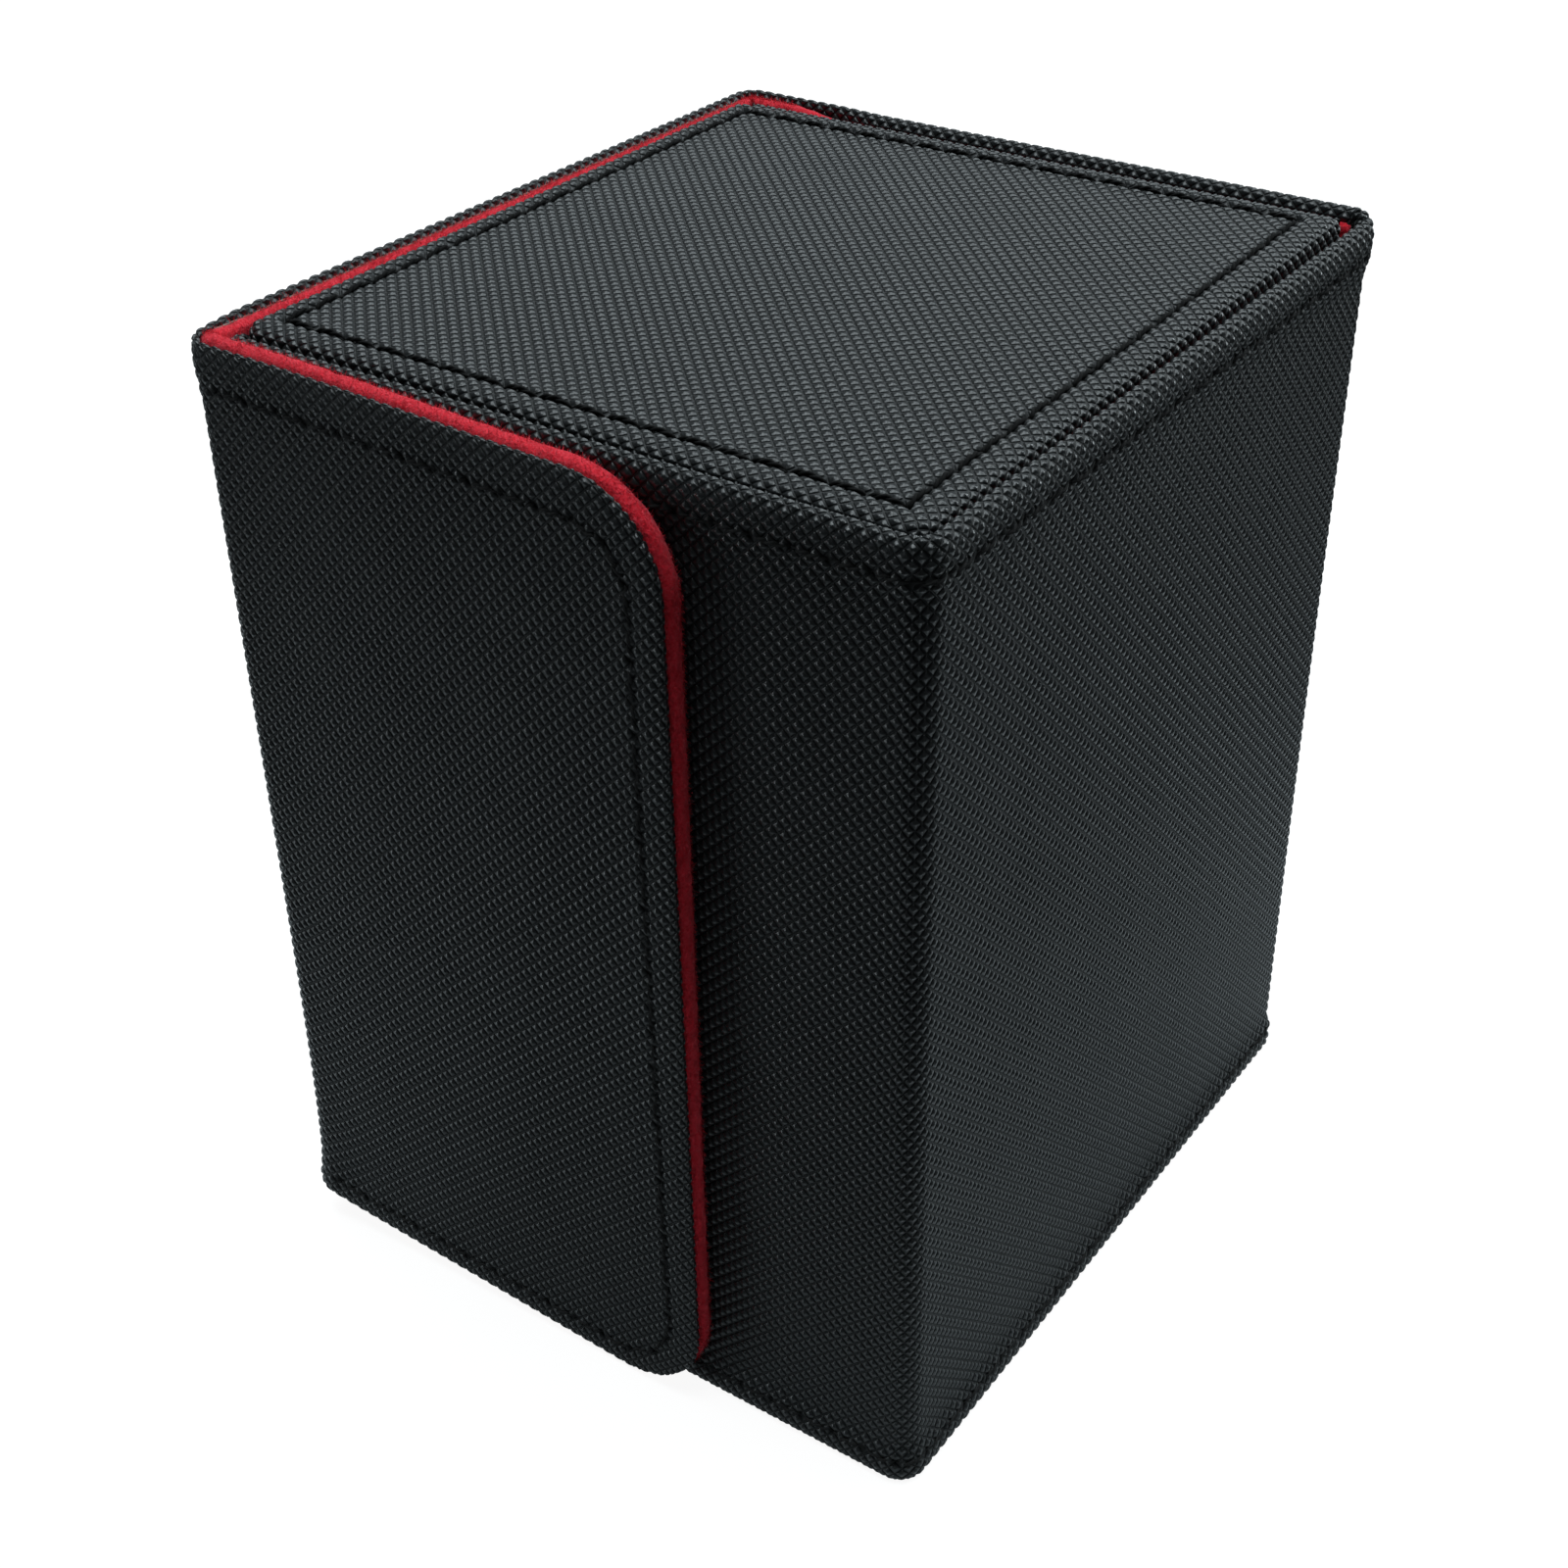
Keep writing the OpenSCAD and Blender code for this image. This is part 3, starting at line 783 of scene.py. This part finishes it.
# ---- the cover's lining: back wall, side panel, flap ----
BACK_LINING_DROP, PANEL_LINING_DROP, FLAP_LINING_DROP = 1.3, 0.55, -0.25
FLAP_LINING_FOOT = 0.45  # from the flap's foot to its lining
LINING_SWELL = 0.3  # how far the nap fills the gap behind the cover
LINING_HEM = 0.6
LINING_LEAN = 0.4  # how askew the lining's free end is cut, from the foot to the top
U_COVER_LINING = U_BACK_CORNER_END - 0.5


def cover_lining_outline(u, v, corner_r):
    size = (LOOP.length - FLAP_LINING_DROP, BACK_RIM - FLAP_LINING_DROP)
    return outside(u, v, (U_COVER_LINING, FLAP_LINING_FOOT), size, (1, corner_r))


def cover_lining_shape(u, v):
    """Lining on the cover's inside: it ends below the rims, and shows along the flap's edge."""
    flap = into_flap(u)
    thickness = COVER + LINING_SWELL - 2 * cover_radius(u)
    radius = thickness * (0.4 + 0.05 * flap)
    flat = thickness - 2 * radius
    reach = half_turn(radius, flat) + LINING_HEM
    outline = cover_lining_outline(u, v, FLAP_CORNER_R - FLAP_LINING_DROP)
    new_u, new_v, depth, past = turn_edge(u, v, outline, radius, flat, reach)
    back = smooth((U_BACK_FOLD - u) / 6)
    panel = PANEL_LINING_DROP + (BACK_LINING_DROP - PANEL_LINING_DROP) * back
    drop = (panel - FLAP_LINING_DROP) * (1 - flap)
    leaning = LINING_LEAN * (v / BACK_RIM - 0.6) * smooth((u - LOOP.length + 15) / 10)
    pulled = new_v - drop * (2 * v / BACK_RIM - 1)
    return new_u + leaning, pulled, COVER + LINING_SWELL - depth, past


def on_cover_lining(u, v):
    return on_loop(*cover_lining_shape(u, v)[:3])


MARGIN = 3  # millimetres of sheet beyond an edge, to be turned in
U_LINING_START, U_LINING_END = U_COVER_LINING - MARGIN, LOOP.length + MARGIN
COVER_HEIGHT = (-MARGIN, BACK_RIM + MARGIN)
for name, span, body, replaced in [
    ("back_cover", (U_LINING_START, U_BACK_FOLD), "box", ["back_cover_lining"]),
    ("side_panel", (U_BACK_FOLD, U_FRONT_FOLD), BACK_FOLD, ["side_panel_lining", "back_fold_lining"]),
    ("flap", (U_FRONT_FOLD, U_LINING_END), FRONT_FOLD, ["flap_lining", "front_fold_lining"]),
]:
    lining(name + "_microfibre", span, COVER_HEIGHT, on_loop, cover_lining_shape, body, replaced)

# ---- loose nap along the edges of the cover's lining ----
FIBRE_R, FIBRE_TIP = 0.022, 0.4  # radius at the root, and the tip's share of it
FIBRE_LENGTH = (0.12, 0.4)
FIBRE_UP, FIBRE_LEAN, FIBRE_CURL = 0.55, 0.6, 0.35
USUAL_LENGTH = 1.7  # of a vector of three random numbers of a normal spread of 1
NAP_DEPTH = 0.9  # how far in from the lining's edge the fibres still grow
NEAR = 0.1  # distance to the points that give a normal


def loose_nap(name, count, u_span, v_span, body):
    """Fine curled fibres on random spots of the lining's turned edge."""
    u, v = (random.uniform(*span, count) for span in (u_span, v_span))
    past = cover_lining_shape(u, v)[3]
    out = cover_lining_outline(u, v, FLAP_CORNER_R)[0]
    keep = (past < -LINING_HEM) & (out > -NAP_DEPTH)
    u, v = u[keep], v[keep]
    root = on_cover_lining(u, v)
    normal = np.cross(on_cover_lining(u + NEAR, v) - root, on_cover_lining(u, v + NEAR) - root)
    normal /= -np.linalg.norm(normal, axis=-1, keepdims=True)
    lean = random.normal(0, 1, root.shape)
    curl = random.normal(0, 1, root.shape)
    length = random.uniform(*FIBRE_LENGTH, (len(root), 1))
    steps = np.linspace(0, 1, 5)[None, :, None]
    way = (FIBRE_UP * normal + FIBRE_LEAN * lean / USUAL_LENGTH)[:, None] * steps
    way = way + FIBRE_CURL * curl[:, None] * steps**2
    centre = root[:, None] + length[:, None] * way
    sides = []
    for angle in np.radians([0, 120, 240]):
        across = np.cos(angle) * np.array([1, 0, 0.3]) + np.sin(angle) * np.array([0.2, 1, -0.2])
        sides.append(centre + FIBRE_R * (1 - (1 - FIBRE_TIP) * steps) * across)
    points = np.stack(sides, 2)
    faces = tube_faces(*points.shape[:3])[1]
    new_piece(name, points.reshape(-1, 3), faces, body, "red_microfibre")


for name, count, span, heights, body in [
    ("side_panel_nap", 26000, (U_BACK_FOLD, U_FRONT_FOLD), (BACK_RIM - 3, COVER_HEIGHT[1]), BACK_FOLD),
    ("flap_nap_top", 26000, (U_FRONT_FOLD, U_LINING_END), (BACK_RIM - 12, COVER_HEIGHT[1]), FRONT_FOLD),
    ("flap_nap_end", 30000, (LOOP.length - 3, U_LINING_END), (0, BACK_RIM - 8), "flap"),
]:
    loose_nap(name, count, span, heights, body)

# ---- the tray's lining ----
INNER_R, LEDGE_R = 0.8, 0.5  # radii of the bay's corners and of its turned top edge
FAR_DOWN = -100  # the foot of this lining ends on the floor and is not turned
INNER = Route(
    [(TRAY_X, INNER_FRONT), (BAY_RIGHT, INNER_FRONT), (BAY_RIGHT, INNER_BACK), (TRAY_X, INNER_BACK)],
    [INNER_R, INNER_R],
)
LEDGE_FRONT = INNER_FRONT - low("front_wall_lining")[1]
LEDGE_BACK = high("back_wall_lining")[1] - INNER_BACK


def on_inner(u, v, depth):
    xy, out = INNER.at(u)
    return np.concatenate([xy + out * depth[..., None], v[..., None]], -1)


def tray_lining_shape(u, v):
    """Lining of the bay's walls, turned over the boards' tops to make the ledge for the lid."""
    outline = outside(u, v, (0, FAR_DOWN), (INNER.length, LEDGE_Z), (INNER_R, INNER_R))
    out, nu, nv = outline
    back = smooth((u - INNER.starts[3] - 0.5) / 1)
    ledge = LEDGE_FRONT + (LEDGE_BACK - LEDGE_FRONT) * back
    flat = nv * nv * (ledge - LEDGE_R) + np.where(nu > 0, nu * nu * (LEDGE_BACK - 2 * LEDGE_R), 0)
    top_reach = (np.pi / 2 - 1) * LEDGE_R + flat
    reach = np.where(nv > 0.7, top_reach, half_turn(LEDGE_R, flat))
    return turn_edge(u, v, outline, LEDGE_R, flat, reach)


for name, first, last in [
    ("front_wall", -4, INNER.starts[1]),
    ("right_wall", INNER.starts[1], INNER.starts[3]),
    ("back_wall", INNER.starts[3], INNER.length + 4),
]:
    lining(name + "_microfibre", (first, last), (FLOOR_Z, LEDGE_Z + 5), on_inner, tray_lining_shape,
           "box", [name + "_lining"])


SLAB_HEM = 0.4


def slab_lining(name, node, radius, face_up, body):
    """Flat piece of microfibre with soft edges, seen from above or from below."""
    lo, hi = low(node), high(node)
    size = hi - lo

    def place(u, v, depth):
        z = hi[2] - depth if face_up else lo[2] + depth
        return np.stack([u + lo[0], v + lo[1], z], -1)

    def shape(u, v):
        outline = outside(u, v, (0, 0), size[:2], (radius, radius))
        bend = size[2] / 2
        return turn_edge(u, v, outline, bend, 0, half_turn(bend, 0) + SLAB_HEM)

    spans = [(-MARGIN, size[k] + MARGIN) for k in (0, 1)]
    lining(name, *spans, place, shape, body, [node], 1 if face_up else -1)


slab_lining("base_microfibre", "base_lining", 0.6, True, "box")
slab_lining("lid_microfibre", "lid_lining", 2, False, "lid")

# ---- the lid and the base ----
FRONT_LIFT, BACK_LIFT = (0.7, 0.12), (1.15, 1.45)  # at the left and at the right
HINGE_LIFT, HINGE_SLOPE = 0.45, 3  # share of the lift left at the hinge, and how long it slopes down


def lid_top(x, y):
    """The lid does not lie quite flat: it stands up at the left and towards the back."""
    x_part = (x - LID_LOW[0]) / (LID_HIGH[0] - LID_LOW[0])
    y_part = (y - LID_LOW[1]) / (LID_HIGH[1] - LID_LOW[1])
    front, back = (left + (right - left) * x_part for left, right in (FRONT_LIFT, BACK_LIFT))
    down = (1 - HINGE_LIFT) * smooth((y - LID_HIGH[1] + HINGE_SLOPE) / HINGE_SLOPE)
    return LID_HIGH[2] + (front + (back - front) * y_part) * (1 - down)


def on_lid(u, v, depth):
    x, y = u + LID_LOW[0], v + LID_LOW[1]
    return np.stack([x, y, lid_top(x, y) - depth], -1)


def fitted_steps(size):
    """Steps of a mesh that takes a whole number of embossed squares along each side."""
    return [size[k] / (STEPS * round(size[k] / GRAIN)) for k in (0, 1)]


LID_SIZE = LID_HIGH - LID_LOW
LID_R, LID_EDGE_R = 2, 0.8
LID_UNDER = 0.5  # leather that is turned in under the lid
LID_STEPS = fitted_steps(LID_SIZE)


def lid_shape(u, v):
    outline = outside(u, v, (0, 0), (LID_SIZE[0], LID_SIZE[1]), (LID_R, LID_R))
    lifted = lid_top(u + LID_LOW[0], v + LID_LOW[1]) - LID_HIGH[2]
    flat = LID_SIZE[2] + lifted - 2 * LID_EDGE_R
    reach = half_turn(LID_EDGE_R, flat) + LID_UNDER
    new_u, new_v, depth, past = turn_edge(u, v, outline, LID_EDGE_R, flat, reach)
    to_edges = (u + LID_HEM_HIDDEN, LID_SIZE[0] - u, v, LID_SIZE[1] - v)
    inside = np.maximum(np.minimum.reduce(to_edges), 0)
    face = np.where(outline[0] < 0, hem_face(inside, LID_RECESS), 0)
    depth = depth + face + dimples(u, v, LID_HOLES)
    # painted shade along the seam
    return new_u, new_v, depth, past, in_seam(inside)


def ring_rows(size, inset, left_inset):
    """Stitch holes along a rectangle inside a sheet, from its front right corner round."""
    x0, x1, y0, y1 = left_inset, size[0] - inset, inset, size[1] - inset
    line = [(x1, y0), (x1, y1), (x0, y1), (x0, y0), (x1, y0)]
    return [along_line(line[k:k + 2], STITCH_PITCH) for k in range(4)]


LID_SEAM_LEFT = low("lid_stitching")[0] + 0.2 - LID_LOW[0]
LID_HEM_HIDDEN = SEAM - LID_SEAM_LEFT
LID_ROWS_SEWN = ring_rows(LID_SIZE, SEAM, LID_SEAM_LEFT)
LID_HOLES = np.concatenate(LID_ROWS_SEWN)
LID_MARGIN = 14  # mesh steps beyond each edge, to be turned in
lid_i, lid_j = (
    np.arange(-LID_MARGIN, round(LID_SIZE[k] / LID_STEPS[k]) + LID_MARGIN + 1) for k in (0, 1)
)
leather("lid_leather", lid_i, lid_j, LID_STEPS, on_lid, lid_shape, "lid", ["lid_skin"])
stitches("lid_thread", LID_ROWS_SEWN, on_lid, 1, "lid", ["lid_stitching"])

BASE_LOW, BASE_HIGH = low("base_skin"), high("base_skin")
BASE_SIZE = BASE_HIGH - BASE_LOW
BASE_STEPS = fitted_steps(BASE_SIZE)
BASE_ROWS_SEWN = ring_rows(BASE_SIZE, SEAM, SEAM)
BASE_HOLES = np.concatenate(BASE_ROWS_SEWN)
BASE_THREAD_SUNK = 0.2  # keeps the thread off the ground
BASE_R, BASE_EDGE_R = 0.6, 0.4
BASE_UNDERLAP, BASE_INNER_HEM = 0.2, 0.3  # beyond the edges that stay flat, beyond the turned one
BASE_RECESS, BASE_HEM_SLOPE, BASE_SEAM_WIDTH = 0.12, 1.5, 0.5
BASE_MARGIN, BASE_TURN = 3, 11  # mesh steps beyond a flat edge and beyond the turned one


def on_base(u, v, depth):
    return np.stack([u + BASE_LOW[0], v + BASE_LOW[1], depth], -1)


def sunk_in_base(u, v, depth):
    return on_base(u, v, depth + BASE_THREAD_SUNK)


def base_shape(u, v):
    """Cover of the base, turned up round the end of its board on the left."""
    outline = outside(u, v, (0, 0), BASE_SIZE[:2], (BASE_R, BASE_R))
    out, nu, nv = outline
    flat = np.where(nu < 0, BASE_SIZE[2] - 2 * BASE_EDGE_R, 0)
    reach = np.where(nu < 0, half_turn(BASE_EDGE_R, flat) + BASE_INNER_HEM, BASE_UNDERLAP)
    new_u, new_v, depth, past = turn_edge(u, v, outline, BASE_EDGE_R, flat, reach)
    beyond = -out - SEAM
    face = BASE_RECESS * smooth(beyond / BASE_HEM_SLOPE)
    face = face + SEAM_DIP * np.exp(-((beyond / BASE_SEAM_WIDTH) ** 2))
    depth = depth + np.where(out < 0, face, 0) + dimples(u, v, BASE_HOLES)
    # painted shade along the seam
    return new_u, new_v, depth, past, in_seam(-out)


base_i = np.arange(-BASE_TURN, round(BASE_SIZE[0] / BASE_STEPS[0]) + BASE_MARGIN)
base_j = np.arange(-BASE_MARGIN, round(BASE_SIZE[1] / BASE_STEPS[1]) + BASE_MARGIN + 1)
leather("base_leather", base_i, base_j, BASE_STEPS, on_base, base_shape, "box", ["base_skin"], -1)
stitches("base_thread", BASE_ROWS_SEWN, sunk_in_base, -1, "box", ["base_stitching"])

# ---- the strip that the lid hinges on ----
STRIP_LOW, STRIP_HIGH = low("lid_hinge_strip"), high("lid_hinge_strip")
STRIP_ONTO_LID = 1.2  # how much further than the frame's strip it runs on under the lid
STRIP_RISE = (0.2, 0.7)  # how much higher than the frame's it lies under the lid and at its bend
STRIP_BACK, STRIP_R = STRIP_HIGH[1] - 0.3, 0.6
# Seen from the side, back along y and then down the wall; the heights are negative in this route
STRIP_PROFILE = Route(
    [
        (STRIP_LOW[1] - STRIP_ONTO_LID, -STRIP_RISE[0] - STRIP_HIGH[2]),
        (STRIP_BACK, -STRIP_RISE[1] - STRIP_HIGH[2]),
        (STRIP_BACK, -STRIP_LOW[2]),
    ],
    [STRIP_R],
)


def on_strip(u, v, depth):
    yz, out = STRIP_PROFILE.at(v)
    return np.stack([u, yz[..., 0] - out[..., 0] * depth, -yz[..., 1] + out[..., 1] * depth], -1)


def strip_shape(u, v):
    return u, v, np.zeros_like(u), np.full_like(u, -1)


strip_i = np.arange(round(STRIP_LOW[0] / COLUMN), round(STRIP_HIGH[0] / COLUMN) + 1)
strip_j = np.arange(0, int(STRIP_PROFILE.length / ROW) + 1)
bend_start = metres(0, STRIP_BACK, STRIP_HIGH[2] - 1.5)
bend_end = metres(0, STRIP_LOW[1] - 0.2, STRIP_HIGH[2] + 0.2)
leather(
    "lid_hinge_leather", strip_i, strip_j, (COLUMN, ROW), on_strip, strip_shape,
    ("box", "lid", bend_start, bend_end), ["lid_hinge_strip"],
)

# ---- pieces that stay as the frame has them ----
for part in frame["record"]["subparts"]:
    for slot in frame["nodes"][part["node"]].material_slots:
        slot.material = MATERIALS[part["material_slot"]]


# ---- the stage, the lights and the camera ----
CAMERA_AT = (115.76, -169.34, 181.68)
YAW, PITCH, ROLL = np.radians([-35.309, 33.516, -0.951])
LENS, SENSOR = 52.81, 36
SHIFT = (0.0003, 0.0063)
FLOOR_SIZE, FLOOR_GLOW = 6.0, 0.93
TABLE_SIZE, TABLE_HEIGHT = 1.5, -0.0005
TABLE_REACH = 0.2  # distance from the middle at which the table's brightness no longer changes
# painted contact shadow: the table's glow is dimmest near the middle, under and round the box
TABLE_BRIGHT = [(0.25, (0.34,) * 3), (0.42, (0.84,) * 3), (0.85, (0.06,) * 3)]  # by share of it
TABLE_COLOUR = (0.82, 0.95, 1.0, 1)
# painted shadow: the glow is dimmed round this place in front of the box
TABLE_GLOOM_AT = (0.0, -0.105, 0)  # the table is dimmer round this place
TABLE_GLOOM = (0.03, 0.10, 0.4, 1.2)  # from this distance to this one, from this level to this one
WORLD_COLOUR = (0.95, 0.98, 1.0, 1)
WORLD_LIGHT, WORLD_SEEN = 0.06, 1.1
LIGHT_COLOUR = (0.86, 0.96, 1.0)
LIGHTS = [  # name, place and size in metres, watts
    ("overhead", (-0.1, 0.4, 0.95), (1.4, 1.4), 16),
    ("back_right", (0.38, 0.9, 0.35), (0.25, 0.25), 3),
    ("above", (0.02, -0.15, 0.9), (0.3, 0.3), 1.9),
    ("low_left", (-0.3, -0.22, 0.03), (0.12, 0.12), 0.2),
]


def add_camera():
    camera = bpy.data.objects.new("camera", bpy.data.cameras.new("camera"))
    bpy.context.scene.collection.objects.link(camera)
    ahead = Vector((np.sin(YAW) * np.cos(PITCH), np.cos(YAW) * np.cos(PITCH), -np.sin(PITCH)))
    right = Vector((np.cos(YAW), -np.sin(YAW), 0))
    up = right.cross(ahead)
    tilted = np.cos(ROLL) * right + np.sin(ROLL) * up
    upright = np.cos(ROLL) * up - np.sin(ROLL) * right
    turn = Matrix((tilted, upright, -ahead)).transposed().to_4x4()
    camera.matrix_world = Matrix.Translation(Vector(CAMERA_AT) * MM) @ turn
    camera.data.sensor_width = SENSOR
    camera.data.lens = LENS
    camera.data.shift_x, camera.data.shift_y = SHIFT
    camera.data.clip_start = 0.01
    bpy.context.scene.camera = camera


def add_light(name, at, size, power):
    light = bpy.data.objects.new(name, bpy.data.lights.new(name, "AREA"))
    bpy.context.scene.collection.objects.link(light)
    light.data.shape = "RECTANGLE"
    light.data.size, light.data.size_y = size
    light.data.energy = power
    light.data.color = LIGHT_COLOUR
    light.visible_camera = False
    light.location = at
    target = Vector((0, 0, BACK_RIM / 2 * MM))
    light.rotation_euler = (target - Vector(at)).to_track_quat("-Z", "Y").to_euler()


def add_plane(name, size, height):
    """Square of the stage, from -size to size in metres."""
    mesh = bpy.data.meshes.new(name)
    corners = [(x * size, y * size, height) for x, y in ((-1, -1), (1, -1), (1, 1), (-1, 1))]
    mesh.from_pydata(corners, [], [(0, 1, 2, 3)])
    plane = bpy.data.objects.new(name, mesh)
    bpy.context.scene.collection.objects.link(plane)
    return plane


def add_floor():
    """White paper that the camera sees; it can be looked through from below."""
    floor = add_plane("floor", FLOOR_SIZE, 0)
    n = Nodes("floor")
    paper = n.noise(40, 4, 0.5)
    fixed = {
        "Roughness": 0.9,
        "Specular IOR Level": 0.0,
        "Emission Color": (1, 1, 1, 1),
        "Emission Strength": FLOOR_GLOW,
    }
    floor.data.materials.append(n.finish(
        fixed,
        Base_Color=n.ramp(paper, [(0.3, (0.16,) * 3), (0.7, (0.18,) * 3)]),
        Alpha=n.maths("SUBTRACT", 1.0, n.add("ShaderNodeNewGeometry").outputs["Backfacing"]),
    ))
    floor.visible_glossy = False
    floor.visible_diffuse = False


def add_table():
    """Glowing plane, in place of a lit grey table, that the box's sides reflect and that the camera
    does not see; its glow is painted darker near the box as a contact shadow, and round TABLE_GLOOM_AT.
    """
    table = add_plane("table", TABLE_SIZE, TABLE_HEIGHT)
    n = Nodes("table")
    near = n.ramp(n.span(n.distance((0, 0, 0)), 0, TABLE_REACH, 0, 1), TABLE_BRIGHT)
    level = n.maths("MULTIPLY", near, n.span(n.distance(TABLE_GLOOM_AT), *TABLE_GLOOM))
    fixed = {"Base Color": (0, 0, 0, 1), "Specular IOR Level": 0.0, "Emission Color": TABLE_COLOUR}
    table.data.materials.append(n.finish(fixed, Emission_Strength=level))
    table.visible_camera = False


def add_world():
    """White surround for the camera, which gives the box only a little light."""
    world = bpy.data.worlds.new("studio")
    bpy.context.scene.world = world
    world.use_nodes = True
    tree = world.node_tree
    background = tree.nodes["Background"]
    background.inputs["Color"].default_value = WORLD_COLOUR
    strength = tree.nodes.new("ShaderNodeMapRange")
    strength.inputs["To Min"].default_value = WORLD_LIGHT
    strength.inputs["To Max"].default_value = WORLD_SEEN
    path = tree.nodes.new("ShaderNodeLightPath")
    tree.links.new(path.outputs["Is Camera Ray"], strength.inputs["Value"])
    tree.links.new(strength.outputs["Result"], background.inputs["Strength"])


add_camera()
add_world()
add_floor()
add_table()
for light in LIGHTS:
    add_light(*light)
bpy.context.scene.view_settings.view_transform = "Standard"
